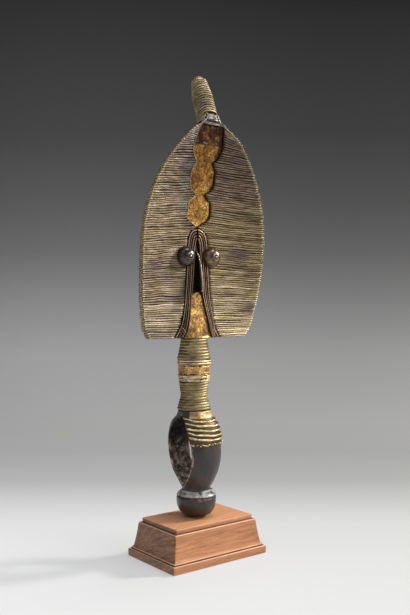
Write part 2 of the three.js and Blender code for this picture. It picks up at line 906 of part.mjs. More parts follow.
// The topknot's winding and the small plate at its foot
function knotWire() {
  const high = knotLength - knotTip;
  const profile = coilProfile(0, high, knotWirePitch, knotOuter, knotWireDepth);
  const winding = solidOf(turned(profile, 12).applyMatrix4(knot.matrix));
  return geometryOf(winding.subtract(solidOf(knotNotch())));
}
place("topknot_wire", knotWire(), brass, figure);

place("topknot_plate", knotPlateBody(0, knotPlateBack - gap, plateThickness), brass, figure);

// The angle at which the handle's surface reaches a depth, searched between two angles.
function angleAt(depth, z, from, to) {
  let low = from;
  let high = to;
  for (let i = 0; i < 30; i += 1) {
    const middle = (low + high) / 2;
    if (handlePoint(middle, z).y > depth === handlePoint(high, z).y > depth) high = middle;
    else low = middle;
  }
  return low;
}

// A strip bent round the front of the handle's shoulder, ending at the opening's edges.
function stripBody(middle, height, proud) {
  const edge = slotEdge(middle, true) - stripMargin;
  const front = -Math.PI / 2;
  const reach = angleAt(edge, middle, 0, front);
  const steps = 6;
  const skin = (rows) => rows.map(([rise, out]) => {
    const points = [];
    for (let i = 0; i <= steps; i += 1) {
      const angle = lerp(reach, 2 * front - reach, i / steps);
      points.push(handlePoint(angle, middle + rise, out));
    }
    return points;
  });
  const half = height / 2;
  const seatOut = gap + stripBedding;
  const flank = seatOut + stripEdge;
  const outer = skin([[-half, flank], [0, proud + gap], [half, flank]]);
  const inner = skin([[-half, seatOut], [0, seatOut], [half, seatOut]]);
  return skinBody(outer, inner);
}

const sheetMiddle = handleTop - sheetBelowNeck - sheetHeight / 2;
place("shoulder_sheet_front", stripBody(sheetMiddle, sheetHeight, sheetProud), goldenBrass, figure);
const firstStrip = sheetMiddle - sheetHeight / 2 - gap - stripHeight;
for (let i = 0; i < frontStrips; i += 1) {
  const z = firstStrip - i * frontStripPitch;
  place(`shoulder_strip_front_${i + 1}`, stripBody(z, stripHeight, stripProud), goldenBrass, figure);
}
const beadsMiddle = firstStrip - frontStrips * frontStripPitch - beadsBelow;
place("shoulder_beads_front", stripBody(beadsMiddle, beadsHeight, beadsProud), goldenBrass, figure);

export default part;
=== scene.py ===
# %% [markdown]
# # A wire-clad reliquary figure on its stand
#
# The figure is one piece of carved wood: a ball foot, a pierced handle, a neck, a hollow
# leaf-shaped head and a topknot. Brass wires, sheets and nails dress it. It stands on a small
# moulded base. This lesson builds each of those pieces as a mesh of its own.
#
# The model of the construction comes first. It gives the sizes and places that every piece keeps.

# %% Load the construction model
import json
import math

import bmesh
import bpy
import numpy as np
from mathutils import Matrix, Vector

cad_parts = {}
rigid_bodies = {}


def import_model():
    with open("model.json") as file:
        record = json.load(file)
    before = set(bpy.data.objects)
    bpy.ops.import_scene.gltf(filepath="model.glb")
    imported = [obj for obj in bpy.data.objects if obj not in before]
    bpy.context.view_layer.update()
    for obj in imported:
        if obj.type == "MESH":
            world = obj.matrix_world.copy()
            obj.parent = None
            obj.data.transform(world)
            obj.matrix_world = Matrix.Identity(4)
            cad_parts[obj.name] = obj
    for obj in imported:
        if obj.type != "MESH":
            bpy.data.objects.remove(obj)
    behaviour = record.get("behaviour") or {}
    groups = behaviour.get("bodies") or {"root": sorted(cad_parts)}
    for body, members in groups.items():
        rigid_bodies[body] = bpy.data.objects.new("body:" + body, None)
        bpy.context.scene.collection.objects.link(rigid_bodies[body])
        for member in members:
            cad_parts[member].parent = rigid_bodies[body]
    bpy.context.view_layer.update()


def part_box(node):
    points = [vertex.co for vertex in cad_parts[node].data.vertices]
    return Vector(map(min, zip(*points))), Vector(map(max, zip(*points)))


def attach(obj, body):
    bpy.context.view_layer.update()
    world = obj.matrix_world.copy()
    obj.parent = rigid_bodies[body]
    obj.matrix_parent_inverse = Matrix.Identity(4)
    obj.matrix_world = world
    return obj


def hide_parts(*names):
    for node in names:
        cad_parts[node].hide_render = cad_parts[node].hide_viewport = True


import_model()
MM = 0.001

# %% [markdown]
# Everything is worked out in millimetres and turned to metres when a mesh is made. The levels come
# from the construction model, so the looks follow it if it is packed again.

# %% Levels of the figure, in millimetres
GAP = 0.3
SET_BACK = 5.2
FOOT_FORWARD = 3.4


def low(node):
    """Lowest corner of a construction piece, in millimetres."""
    return np.array(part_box(node)[0]) / MM


def high(node):
    """Highest corner of a construction piece, in millimetres."""
    return np.array(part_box(node)[1]) / MM


def levels(node):
    """Heights of the lower and the upper end of a construction piece."""
    return low(node)[2], high(node)[2]


STAND_TOP = high("stand_base")[2]
BALL_RADIUS = 18.2
BALL_FLAT_RADIUS = 4.5
BALL_CENTRE = STAND_TOP + GAP + math.sqrt(BALL_RADIUS**2 - BALL_FLAT_RADIUS**2)
HANDLE_BOTTOM = BALL_CENTRE + 6.8
HANDLE_TOP = low("neck_wire_lower")[2] - GAP
HANDLE_HEIGHT = HANDLE_TOP - HANDLE_BOTTOM
HEAD_BOTTOM = low("throat_plate")[2]
HEAD_TOP = high("crown_plate")[2] + 4.0
HEAD_HEIGHT = HEAD_TOP - HEAD_BOTTOM
NECK_HEIGHT = HEAD_BOTTOM - HANDLE_TOP
HEAD_WIDEST = HEAD_BOTTOM + 0.428 * HEAD_HEIGHT
print("ball centre", round(BALL_CENTRE, 2), "handle top", round(HANDLE_TOP, 2))
print("head from", round(HEAD_BOTTOM, 2), "to", round(HEAD_TOP, 2))

# %% [markdown]
# The real figure has no straight line in it. Its outlines are smooth curves through a few measured
# widths, and its surfaces waver as hand work does. Two small helpers give both: a curve through
# pairs of numbers, and ripples, a sum of a few long waves that never repeats visibly. The others
# gather points, circles and soft bumps in short words.

# %% Curves and ripples
FORWARD = np.array([0.0, -1.0, 0.0])


def curve_through(pairs):
    """A smooth curve through [place, value] pairs, as a function of an array of places."""
    places = np.array([pair[0] for pair in pairs], float)
    values = np.array([pair[1] for pair in pairs], float)
    before = np.maximum(np.arange(len(pairs)) - 1, 0)
    after = np.minimum(np.arange(len(pairs)) + 1, len(pairs) - 1)
    slopes = (values[after] - values[before]) / (places[after] - places[before])

    def at(place):
        place = np.clip(place, places[0], places[-1])
        i = np.clip(np.searchsorted(places, place) - 1, 0, len(places) - 2)
        span = places[i + 1] - places[i]
        u = (place - places[i]) / span
        rise = u * u * (3 - 2 * u)
        bend = u * (1 - u) * span * (slopes[i] * (1 - u) - slopes[i + 1] * u)
        return values[i] + (values[i + 1] - values[i]) * rise + bend

    return at


def ease(value, start, end):
    """0 before start, 1 after end, and a soft step between."""
    t = np.clip((value - start) / (end - start), 0, 1)
    return t * t * (3 - 2 * t)


def blend(first, second, share):
    return first + (second - first) * share


def ripples(points, size, seed, waves=8):
    """Smooth irregular numbers, mostly between -1 and 1, with bumps about `size` across."""
    points = np.atleast_2d(points)
    random = np.random.default_rng(seed)
    total = np.zeros(len(points))
    for _ in range(waves):
        direction = random.normal(size=points.shape[1])
        direction /= np.linalg.norm(direction)
        wavelength = size * random.uniform(1.2, 3.0)
        phase = random.uniform(0, 2 * math.pi)
        total += np.sin(points @ direction * 2 * math.pi / wavelength + phase)
    return total / math.sqrt(2 * waves)


def unit(vectors):
    length = np.linalg.norm(vectors, axis=-1, keepdims=True)
    return vectors / np.maximum(length, 1e-9)


def points_at(*coordinates):
    """Points from their coordinates, each of them a number or an array."""
    return np.stack(np.broadcast_arrays(*coordinates), axis=-1)


def circle(radius, angle):
    """The two coordinates of places on a circle."""
    return radius * np.cos(angle), radius * np.sin(angle)


def all_round(count):
    """Angles spread evenly over a full turn."""
    return 2 * math.pi * np.arange(count) / count


def bell(value, middle, width):
    """1 at the middle, and falling smoothly to 0 on both sides of it."""
    return np.exp(-(((value - middle) / width) ** 2))


print("ripples at two points:", ripples(np.array([[0, 0, 0], [5, 0, 0]]), 10, 1).round(2))

# %% [markdown]
# Most pieces here are gathered from many small closed bodies, such as wires laid side by side. A
# Gathering collects them into one mesh. Each point also keeps three numbers that the finishes read:
# its tone, one value for a whole wire, which on the stand is painted shade in the inner corners; its
# crest, 1 where hands polish the metal and 0 deep between two wires, where dirt and painted shade
# darken it; and its wear, which on some pieces also marks a painted highlight.

# %% Gather small bodies into one piece


class Gathering:
    """Collects closed bodies, in millimetres, and makes them one mesh object."""

    def __init__(self):
        self.points = []
        self.faces = []
        self.marks = {"tone": [], "crest": [], "wear": []}
        self.count = 0

    def add(self, points, faces, tone=0.5, crest=1.0, wear=0.0):
        points = np.asarray(points, float).reshape(-1, 3)
        self.points.append(points)
        self.faces.extend([tuple(int(i) + self.count for i in face) for face in faces])
        for name, value in (("tone", tone), ("crest", crest), ("wear", wear)):
            self.marks[name].append(np.broadcast_to(np.ravel(value), len(points)))
        self.count += len(points)

    def add_tube(self, path, out, width, depth, sides=8, closed=False, least_crest=0.0, **marks):
        """Adds a tube whose crest mark falls to the least one where it touches what it lies on."""
        points, faces, crest = tube(path, out, width, depth, sides, closed)
        self.add(points, faces, crest=blend(crest, 1.0, least_crest), **marks)

    def build(self, name):
        mesh = bpy.data.meshes.new(name)
        points = np.concatenate(self.points) * MM
        mesh.from_pydata(points.tolist(), [], self.faces)
        for mark, values in self.marks.items():
            attribute = mesh.attributes.new(mark, "FLOAT", "POINT")
            attribute.data.foreach_set("value", np.concatenate(values).astype(np.float32))
        outwards = bmesh.new()
        outwards.from_mesh(mesh)
        bmesh.ops.recalc_face_normals(outwards, faces=outwards.faces)
        outwards.to_mesh(mesh)
        outwards.free()
        mesh.polygons.foreach_set("use_smooth", [True] * len(mesh.polygons))
        piece = bpy.data.objects.new(name, mesh)
        bpy.context.scene.collection.objects.link(piece)
        return piece


def one_body(name, points, faces, **marks):
    """A piece that is a single closed body."""
    gathering = Gathering()
    gathering.add(points, faces, **marks)
    return gathering.build(name)


def grid_faces(rows, columns, round_rows=False, round_columns=False):
    """Four-sided faces between the points of a grid, listed row by row."""
    row_steps = rows if round_rows else rows - 1
    column_steps = columns if round_columns else columns - 1
    faces = []
    for r in range(row_steps):
        for c in range(column_steps):
            next_r = (r + 1) % rows
            next_c = (c + 1) % columns
            corner = (r * columns + c, r * columns + next_c)
            faces.append((*corner, next_r * columns + next_c, next_r * columns + c))
    return faces


def ring_faces(rings, sides, closed=False):
    """Faces of a body made of rings, with a lid on each end unless it closes on itself."""
    faces = grid_faces(rings, sides, round_rows=closed, round_columns=True)
    if not closed:
        last = (rings - 1) * sides
        faces += [tuple(range(sides)), tuple(range(last, last + sides))]
    return faces


def tube(path, out, width, depth, sides=8, closed=False):
    """An oval tube along a path. `out` points away from what it lies on; width lies across it.
    Returns points, faces and the crest of every point."""
    path = np.asarray(path, float)
    if closed:
        tangent = np.roll(path, -1, axis=0) - np.roll(path, 1, axis=0)
    else:
        tangent = np.gradient(path, axis=0)
    across = unit(np.cross(tangent, out))[:, None]
    out = unit(np.cross(across[:, 0], tangent))[:, None]
    width = np.broadcast_to(width, len(path))[:, None]
    depth = np.broadcast_to(depth, len(path))[:, None]
    angle = all_round(sides)
    sideways = (np.cos(angle) * width / 2)[..., None]
    outwards = (np.sin(angle) * depth / 2)[..., None]
    points = path[:, None] + sideways * across + outwards * out
    crest = np.tile(np.sin(angle) * 0.5 + 0.5, len(path))
    return points.reshape(-1, 3), ring_faces(len(path), sides, closed), crest


def slab(outer, inner):
    """A closed body between two grids of points with equal rows and columns."""
    rows, columns = outer.shape[:2]
    count = rows * columns
    faces = grid_faces(rows, columns)
    faces += [tuple(i + count for i in face) for face in faces]
    grid = np.arange(count).reshape(rows, columns)
    border = [*grid[0], *grid[1:, -1], *grid[-1, -2::-1], *grid[-2:0:-1, 0]]
    for point, following in zip(border, border[1:] + border[:1]):
        faces.append((point, following, following + count, point + count))
    return np.concatenate([outer.reshape(-1, 3), inner.reshape(-1, 3)]), faces


def lathe(profile, sides):
    """A closed body of revolution about an upright axis, from [radius, height] pairs."""
    radius, height = np.array(profile, float).T[:, :, None]
    points = points_at(*circle(radius, all_round(sides)), height)
    return points.reshape(-1, 3), ring_faces(len(profile), sides)


print("a tube of 3 rings has", len(tube(np.eye(3), np.eye(3)[[1, 2, 0]], 1, 1)[1]), "faces")

# %% [markdown]
# A finish here is always a web of nodes: noise in layers for patina, the marks of the mesh for
# polish, dirt and painted shade, and a fine bump. A Finish wraps a material so that each of those is
# one plain line further down.

# %% Finishes are small webs of nodes


class Finish:
    """A material made of noise, colour ramps and the marks that the meshes carry."""

    def __init__(self, name, roughness, metallic=0.0):
        self.material = bpy.data.materials.new(name)
        self.material.use_nodes = True
        self.tree = self.material.node_tree
        self.shader = self.tree.nodes["Principled BSDF"]
        self.set("Metallic", metallic)
        self.set("Roughness", roughness)
        self.place = self.node("ShaderNodeTexCoord", {}, "Object")

    def node(self, kind, inputs, output, **settings):
        """Adds a node, feeds its sockets and returns one of its outputs."""
        made = self.tree.nodes.new(kind)
        for name, value in settings.items():
            setattr(made, name, value)
        for socket, value in inputs.items():
            self.feed(made.inputs[socket], value)
        return made.outputs[output]

    def feed(self, socket, value):
        if isinstance(value, bpy.types.NodeSocket):
            self.tree.links.new(value, socket)
        else:
            socket.default_value = value

    def set(self, socket, value):
        self.feed(self.shader.inputs[socket], value)

    def noise(self, size, detail=4.0, rough=0.55, stretch=(1, 1, 1), shift=0.0, turn=0.0):
        """Cloudy noise whose bumps are about `size` millimetres across, longer along a stretch that
        may be turned about the X axis."""
        place = {
            "Vector": self.place,
            "Location": (shift, shift * 0.7, shift * 1.3),
            "Rotation": (turn, 0, 0),
            "Scale": [size * MM * s for s in stretch],
        }
        mapped = self.node("ShaderNodeMapping", place, "Vector", vector_type="TEXTURE")
        cloud = {"Vector": mapped, "Scale": 1.0, "Detail": detail, "Roughness": rough}
        return self.node("ShaderNodeTexNoise", cloud, "Fac")

    def mark(self, name):
        return self.node("ShaderNodeAttribute", {}, "Fac", attribute_name=name)

    def along(self, axis):
        """The place along an axis, in metres."""
        return self.node("ShaderNodeSeparateXYZ", {"Vector": self.place}, axis)

    def ramp(self, value, *stops):
        """Colours along a value, from (place, colour) pairs."""
        colour = self.node("ShaderNodeValToRGB", {"Fac": value}, "Color")
        elements = colour.node.color_ramp.elements
        while len(elements) < len(stops):
            elements.new(0.5)
        for element, (place, shade) in zip(elements, stops):
            element.position = place
            element.color = opaque(shade)
        return colour

    def step(self, value, start, end):
        """0 below start and 1 above end."""
        inputs = {"Value": value, "From Min": start, "From Max": end}
        return self.node("ShaderNodeMapRange", inputs, "Result", interpolation_type="SMOOTHSTEP")

    def above(self, start, end):
        """0 below one height and 1 above the other, both in millimetres."""
        return self.step(self.along("Z"), start * MM, end * MM)

    def maths(self, operation, first, second):
        return self.node("ShaderNodeMath", {0: first, 1: second}, "Value", operation=operation)

    def times(self, first, second):
        return self.maths("MULTIPLY", first, second)

    def plus(self, first, second):
        return self.maths("ADD", first, second)

    def minus(self, first, second):
        return self.maths("SUBTRACT", first, second)

    def larger(self, first, second):
        return self.maths("MAXIMUM", first, second)

    def mix(self, share, first, second, amount=1.0, how="MIX"):
        """Goes from the first colour to the second by a share, times an amount."""
        if amount != 1.0:
            share = self.times(share, amount)
        inputs = {"Factor": share, "A": opaque(first), "B": opaque(second)}
        return self.node("ShaderNodeMix", inputs, "Result", data_type="RGBA", blend_type=how)

    def tint(self, colour, by):
        """A colour multiplied by another."""
        return self.mix(1.0, colour, by, how="MULTIPLY")

    def soil_and_shade(self, metal, dirt, clean, dirty, amount):
        """Metal with dirt and painted shade in its hollows, where the crest mark falls from clean to dirty.
        """
        return self.mix(self.step(self.mark("crest"), clean, dirty), metal, dirt, amount)

    def colour(self, value):
        self.set("Base Color", value)

    def gloss(self, value, smoothest, roughest):
        """Roughness between two limits, along a value."""
        inputs = {"Value": value, "To Min": smoothest, "To Max": roughest}
        self.set("Roughness", self.node("ShaderNodeMapRange", inputs, "Result"))

    def bump(self, height, depth, strength=1.0):
        """Raises the look of the surface by up to `depth` millimetres where the height is 1."""
        inputs = {"Height": height, "Distance": depth * MM, "Strength": strength}
        self.set("Normal", self.node("ShaderNodeBump", inputs, "Normal"))


def opaque(colour):
    """A colour for a socket: a node's output as it is, three numbers, or one for a grey."""
    if isinstance(colour, bpy.types.NodeSocket):
        return colour
    return (*np.broadcast_to(colour, 3).tolist(), 1.0)


def dress(piece, finish, body_slot, *nodes):
    """Gives a piece its finish, sets it on the figure's body and lets it stand for its nodes."""
    piece.data.materials.clear()
    piece.data.materials.append(finish.material)
    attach(piece, "root")
    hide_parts(*nodes)
    print(piece.name, "has", len(piece.data.polygons), "faces")


print("a plain grey for a socket:", opaque(0.5))

# %% [markdown]
# ## The stand
#
# A dealer's base of oiled reddish hardwood: a thin top plate, a narrow ledge, sides that lean
# outwards with a slight hollow, a fillet and a rounded foot. On the real one these are planed with
# moulding cutters. Rings of one outline, each wider or narrower than the last, give the same
# profile and let every arris be softened by a fraction of a millimetre.

# %% Stand
STAND_TOP_SIZE = (85.5, 52.8)
FOOT_FLARE = 9.3
FOOT_HEIGHT = 6.9
FILLET_FLARE = FOOT_FLARE - 1.9
PLATE_BOTTOM = STAND_TOP - 4.0
SIDE_HOLLOW = 0.25
ARRIS = 0.45
CORNER_STEPS = 4
EDGE_STEPS = 24


def stand_ring(flare, corner):
    """One outline of the stand with softened corners, `flare` wider than its top all round."""
    half = np.array(STAND_TOP_SIZE) / 2 + flare - corner
    arcs = []
    for quarter, sign in enumerate([(1, 1), (-1, 1), (-1, -1), (1, -1)]):
        angle = math.pi / 2 * (quarter + np.linspace(0, 1, CORNER_STEPS + 1))
        arcs.append(sign * half + points_at(*circle(corner, angle)))
    outline = []
    for arc, following, steps in zip(arcs, arcs[1:] + arcs[:1], (EDGE_STEPS, EDGE_STEPS // 2) * 2):
        share = np.arange(1, steps)[:, None] / steps
        outline += [arc, blend(arc[-1], following[0], share)]
    return np.concatenate(outline)


def stand_profile():
    """Flare, height and wear from the underside to the top: above 0 for worn edges with a painted highlight,
    below 0 for painted shade in the inner corners.
    """
    foot = [(-1.2, 0, 0), (-0.5, 0.15, 0), (-0.12, 0.6, 0), (0, 1.4, 0), (0, 5.6, 0), (-0.15, 6.3, 0)]
    ledge = [(-0.4, -0.35, 0), (-0.6, -0.1, 1), (-1, 0, 1), (-1.2, 0, 0), (-2.3, 0, -1), (-2.4, 0.7, -1)]
    fillet = [(0, 0.75, 0), (0, 1.2, 0), (0, 1.45, 1), (-0.3, 1.7, 1), (-0.6, 1.8, 0), (-1.1, 1.8, 0)]
    under_plate = [(2.25, -0.3, 1), (2, -0.05, 1), (1.75, 0, 0), (0.1, 0, -1), (0, 0.5, -1), (0, 1.1, 0)]
    plate_edge = [(0, -ARRIS, 0), (-0.12, -0.14, 0.6), (-ARRIS, 0, 0.3), (-ARRIS - 0.5, 0, 0)]
    side = []
    for share in np.linspace(0.06, 0.96, 10):
        flare = blend(FILLET_FLARE - 1.6, 2.35, share) - SIDE_HOLLOW * math.sin(math.pi * share)
        side.append((flare, blend(FOOT_HEIGHT + 1.8, PLATE_BOTTOM, share), 0))
    mouldings = [
        (FOOT_FLARE, 0, foot),
        (FOOT_FLARE, FOOT_HEIGHT, ledge),
        (FILLET_FLARE, FOOT_HEIGHT, fillet),
        (0, 0, side),
        (0, PLATE_BOTTOM, under_plate),
        (0, STAND_TOP, plate_edge),
    ]
    return [(out + flare, up + z, worn) for out, up, steps in mouldings for flare, z, worn in steps]


def stand_mesh():
    rings = []
    wear = []
    for flare, height, worn in stand_profile():
        outline = stand_ring(flare, corner=max(0.45 + 0.03 * flare, 0.4))
        rings.append(points_at(*outline.T, height))
        wear.append(np.full(len(outline), float(worn)))
    rings = np.array(rings)
    wear = np.concatenate(wear)
    past_end, past_side = (np.abs(rings[..., i]) - STAND_TOP_SIZE[i] / 2 for i in (0, 1))
    at_end = (past_end > -1.5) & (past_end > past_side)
    # The tone mark holds the painted shade of the inner corners; the wear mark holds the worn edges with
    # their painted highlight.
    marks = {"tone": np.maximum(-wear, 0), "crest": np.where(at_end, 0.0, 1.0), "wear": np.maximum(wear, 0)}
    piece = one_body("stand", rings, ring_faces(*rings.shape[:2]), **marks)
    piece.data.set_sharp_from_angle(angle=math.radians(32))
    return piece


def stand_finish():
    finish = Finish("stand_wood", roughness=0.42)
    grain = finish.noise(1.7, detail=5, rough=0.65, stretch=(16, 1, 1.2))
    figure = finish.noise(12, detail=3, stretch=(4, 1, 1.2), shift=3.1)
    pores = finish.noise(0.6, detail=2, rough=0.7, stretch=(9, 1, 1), shift=7.7)
    end_grain = finish.noise(1.3, detail=4, rough=0.6, stretch=(1, 14, 1), shift=4.4, turn=-0.45)
    brown = finish.ramp(
        grain, (0.3, (0.24, 0.085, 0.034)), (0.5, (0.46, 0.18, 0.07)), (0.7, (0.68, 0.31, 0.135))
    )
    warm = finish.ramp(figure, (0.32, (0.34, 0.125, 0.05)), (0.68, (0.58, 0.25, 0.1)))
    wood = finish.mix(0.4, brown, warm)
    dark_pores = finish.times(finish.step(pores, 0.4, 0.3), 0.55)
    wood = finish.mix(dark_pores, wood, (0.1, 0.036, 0.018))
    on_top = finish.above(STAND_TOP - 0.7, STAND_TOP - 0.2)
    ends = finish.minus(finish.minus(1.0, finish.mark("crest")), on_top)
    rings = finish.ramp(end_grain, (0.36, (0.3, 0.33, 0.4)), (0.64, (0.8, 0.88, 1.02)))
    wood = finish.mix(ends, wood, finish.tint(wood, rings))
    # Painted shade darkens the inner corners of the mouldings.
    wood = finish.mix(finish.mark("tone"), wood, (0.07, 0.028, 0.016), amount=0.8)
    # Painted light: the top of the stand is lightened and warmed, as if lit from above.
    wood = finish.mix(on_top, wood, finish.tint(wood, (1.35, 1.38, 1.35)))
    wood = finish.mix(on_top, wood, (0.96, 0.58, 0.35), amount=0.2)
    # Worn edges, lightened also as a painted highlight on the arrises.
    finish.colour(finish.mix(finish.mark("wear"), wood, (0.78, 0.52, 0.36), amount=0.75))
    finish.gloss(grain, 0.36, 0.55)
    finish.bump(finish.minus(grain, dark_pores), 0.12, 0.5)
    finish.set("Coat Weight", 0.12)
    finish.set("Coat Roughness", 0.3)
    return finish


dress(stand_mesh(), stand_finish(), "stand_wood", "stand_base")

# %% [markdown]
# ## The carved body
#
# One piece of dark, handled wood. Its foot is a ball with a flat shoulder cut round it, and the
# handle above is egg-shaped in plan and pierced from side to side. Each ring of the column is a
# radius for an angle and a height. The opening is cut with a boolean, and a voxel remesh then welds
# column, head board and topknot to one skin and softens every cut edge as handling has done.

# %% Profile of the column
HANDLE_SWELL = curve_through([
    [0, 0.56], [0.1, 0.73], [0.25, 0.9], [0.42, 1], [0.55, 1.025],
    [0.7, 1], [0.82, 0.9], [0.92, 0.76], [1, 0.66],
])
NECK_SWELL = curve_through([
    [0, 1.1], [0.05, 1.03], [0.1, 0.97], [0.2, 0.87], [0.28, 0.91], [0.36, 0.96],
    [0.46, 1.07], [0.69, 1.09], [0.8, 1], [0.88, 0.93], [1, 0.84],
])
NECK_RADIUS = 14.5
NECK_WIRE_DEPTH = 2.2
HANDLE_HALF_WIDTH = 20.0
HANDLE_FRONT = 24.0
HANDLE_BACK = 31.0
HANDLE_WIDEST_FORWARD = 8.0
SLOT_HEIGHT = 62.0
SLOT_FRONT = 13.6
SLOT_BACK = 24.0
SLOT_SLANT = 2.8
SLOT_MIDDLE = HANDLE_BOTTOM + 0.497 * HANDLE_HEIGHT
UNDER_COIL = 0.8


def neck_outer(z):
    """Radius of the neck over its windings."""
    return NECK_RADIUS * NECK_SWELL((z - HANDLE_TOP) / NECK_HEIGHT)


def column_radius(z):
    return neck_outer(z) - NECK_WIRE_DEPTH - 2 * GAP


def axis_at(z):
    """Depth of the figure's own axis: the foot stands a little forward of the neck."""
    below = np.maximum((HANDLE_TOP - z) / (HANDLE_TOP - BALL_CENTRE), 0)
    return SET_BACK - FOOT_FORWARD * np.minimum(below, 1)


def handle_point(angle, z, proud=0.0):
    """Points of the handle's surface; an angle of -90 degrees is the front."""
    share = (z - HANDLE_BOTTOM) / HANDLE_HEIGHT
    swell = HANDLE_SWELL(share)
    egg = ease(share, 0, 0.24) * (1 - ease(share, 0.82, 1.02))
    sine = np.sin(angle)
    cosine = np.cos(angle)
    full = np.where(sine < 0, 1.0, 1 / 1.1)
    egg_x = swell * HANDLE_HALF_WIDTH * np.sign(cosine) * np.abs(cosine) ** full
    egg_y = swell * (egg_depth(sine) * np.sign(sine) * np.abs(sine) ** full - HANDLE_WIDEST_FORWARD)
    plain = swell * (HANDLE_HALF_WIDTH + HANDLE_FRONT) / 2
    round_radius = np.where(share > 0.5, neck_outer(HANDLE_TOP) - UNDER_COIL, plain)
    x = blend(round_radius * cosine, egg_x, egg)
    y = blend(round_radius * sine, egg_y, egg)
    grown = 1 + proud / np.hypot(x, y)
    return points_at(x * grown, y * grown + axis_at(z), z)


def egg_depth(backwards):
    """Depth of the handle's egg-shaped plan from its widest place, to the front or the back."""
    front = HANDLE_FRONT - HANDLE_WIDEST_FORWARD
    back = HANDLE_BACK + HANDLE_WIDEST_FORWARD
    return np.where(backwards < 0, front, back)


def slot_open(z):
    """How open the pierced opening is at a height, from 0 at its ends to 1."""
    share = np.minimum(np.abs((z - SLOT_MIDDLE) / (SLOT_HEIGHT / 2)), 1)
    return (1 - share**2.2) ** 0.9


def slot_edge(z, front, x=0.0):
    """Depth of the opening's front or back wall at a height; its front wall slants to the left mouth."""
    if not front:
        return SLOT_BACK * slot_open(z) + axis_at(z)
    slant = SLOT_SLANT * np.clip(-np.asarray(x) / 16, 0, 2.5)
    return -(SLOT_FRONT + slant) * slot_open(z) + axis_at(z)


print("neck radius half way:", round(float(neck_outer(HANDLE_TOP + NECK_HEIGHT / 2)), 2), "mm")

# %% [markdown]
# The head is a thin leaf whose face is hollow: seen from above it curves forward towards both
# rims, and seen from the side its top arches forward. All the metal on it is laid on this one
# surface, so it is written once as a function and everything else asks it for its depth.

# %% Surface of the face
HEAD_HALF_WIDTH = 69.7
HOLLOW_DEPTH = 15.6
ARCH_FORWARD = 19.5
RIM_THICKNESS = 6.2
BOARD_THICKNESS = 13.0
SPINE_HEIGHT = 4.0
SPINE_HALF_WIDTH = 9.0
WIRE_LAYER = 2.0
HOLLOW_SHARE = curve_through([
    [0, 0.1], [0.17, 0.46], [0.33, 0.85], [0.43, 1], [0.6, 1.12],
    [0.78, 0.95], [0.91, 0.74], [0.96, 0.42], [1, 0.14],
])


def head_share(z):
    return (z - HEAD_BOTTOM) / HEAD_HEIGHT


def head_half(z):
    """Half width of the head over its wires."""
    up = np.clip((z - HEAD_WIDEST) / (HEAD_TOP + 1 - HEAD_WIDEST), 0, 1)
    down = np.clip((HEAD_WIDEST - z) / (HEAD_WIDEST - HEAD_BOTTOM), 0, 1.02)
    above = (1 - up**2) ** (2 / 3)
    below = 1 - 0.17 * down**1.9 - 0.045 * ease(down, 0.88, 1)
    return HEAD_HALF_WIDTH * np.where(np.asarray(z) >= HEAD_WIDEST, above, below)


def arch_at(z):
    """How far the middle of the face stands forward."""
    return -ARCH_FORWARD * np.maximum((head_share(z) - 0.53) / 0.443, 0) ** 1.7


def throat_at(x, z):
    """The throat swells forward over the top of the neck."""
    rise = 1 - ease(z, HEAD_BOTTOM - 1, HEAD_BOTTOM + 42)
    return -6.5 * rise * np.maximum(1 - (x / 20) ** 2, 0)


def face_at(x, z):
    """Depth of the face over its wires."""
    across = np.minimum(np.abs(x) / np.maximum(head_half(z), 1e-3), 1)
    hollow = HOLLOW_DEPTH * HOLLOW_SHARE(head_share(z)) * across**2
    return arch_at(z) - hollow + throat_at(x, z)


def board_front(x, z):
    return face_at(x, z) + WIRE_LAYER + GAP


def board_back(x, z):
    """Depth of the wooden back, with its upright spine."""
    inner_half = np.maximum(head_half(z) - WIRE_LAYER - GAP, 1e-3)
    across = np.minimum(np.abs(x) / inner_half, 1)
    rim = face_at(head_half(z), z) + RIM_THICKNESS - WIRE_LAYER - GAP
    middle = arch_at(z) + WIRE_LAYER + BOARD_THICKNESS
    spine = SPINE_HEIGHT * np.maximum(1 - np.abs(x) / SPINE_HALF_WIDTH, 0)
    return blend(middle, rim, across**1.6) + spine


rims_forward = float(face_at(0, HEAD_WIDEST) - face_at(69, HEAD_WIDEST))
print("the rims stand", round(rims_forward, 1), "mm before the middle")

# %% [markdown]
# The topknot leans back from the top of the head, so its winding and its wooden tip are made
# upright and then set in a leaning frame.

# %% Topknot frame
KNOT_LENGTH = 48.3
KNOT_LEAN = 0.34
KNOT_TIP = 3.0
KNOT_WIRE_DEPTH = 1.8
KNOT_FOOT = np.array([0.0, float(arch_at(HEAD_TOP)) + 5.2, HEAD_TOP - 2.2])
KNOT_SWELL = curve_through([[0, 12], [0.09, 10.29], [0.22, 9.8], [0.5, 9.8], [0.75, 8.92], [1, 6.9]])


def knot_outer(along):
    """Radius over the winding at a length along the topknot."""
    return KNOT_SWELL(along / (KNOT_LENGTH - KNOT_TIP))


def leaning(points):
    """Turns points from the topknot's own frame to the figure's."""
    x, y, z = np.moveaxis(np.asarray(points, float), -1, 0)
    sine = math.sin(KNOT_LEAN)
    cosine = math.cos(KNOT_LEAN)
    return points_at(x, y * cosine + z * sine, z * cosine - y * sine) + KNOT_FOOT


print("topknot's tip at", leaning([0.0, 0.0, KNOT_LENGTH]).round(1))

# %% [markdown]
# Column, opening, head board and topknot are plain closed bodies at first. Each is drawn from its
# own profile, a little under the metal that will lie on it.

# %% Column, head board and topknot of wood
COLUMN_SIDES = 120
BALL_RINGS = 26
HANDLE_RINGS = 90
NECK_RINGS = 60
SLOT_STEPS = 60
BOARD_ROWS = 90
BOARD_COLUMNS = 61
SHOULDER_CUT = 1.8
SHOULDER = curve_through([[1.8, 18.2], [3.4, 17.3], [5.2, 15.4], [6.8, 13.0], [9, 11]])
BALL_FULLNESS = 2.7


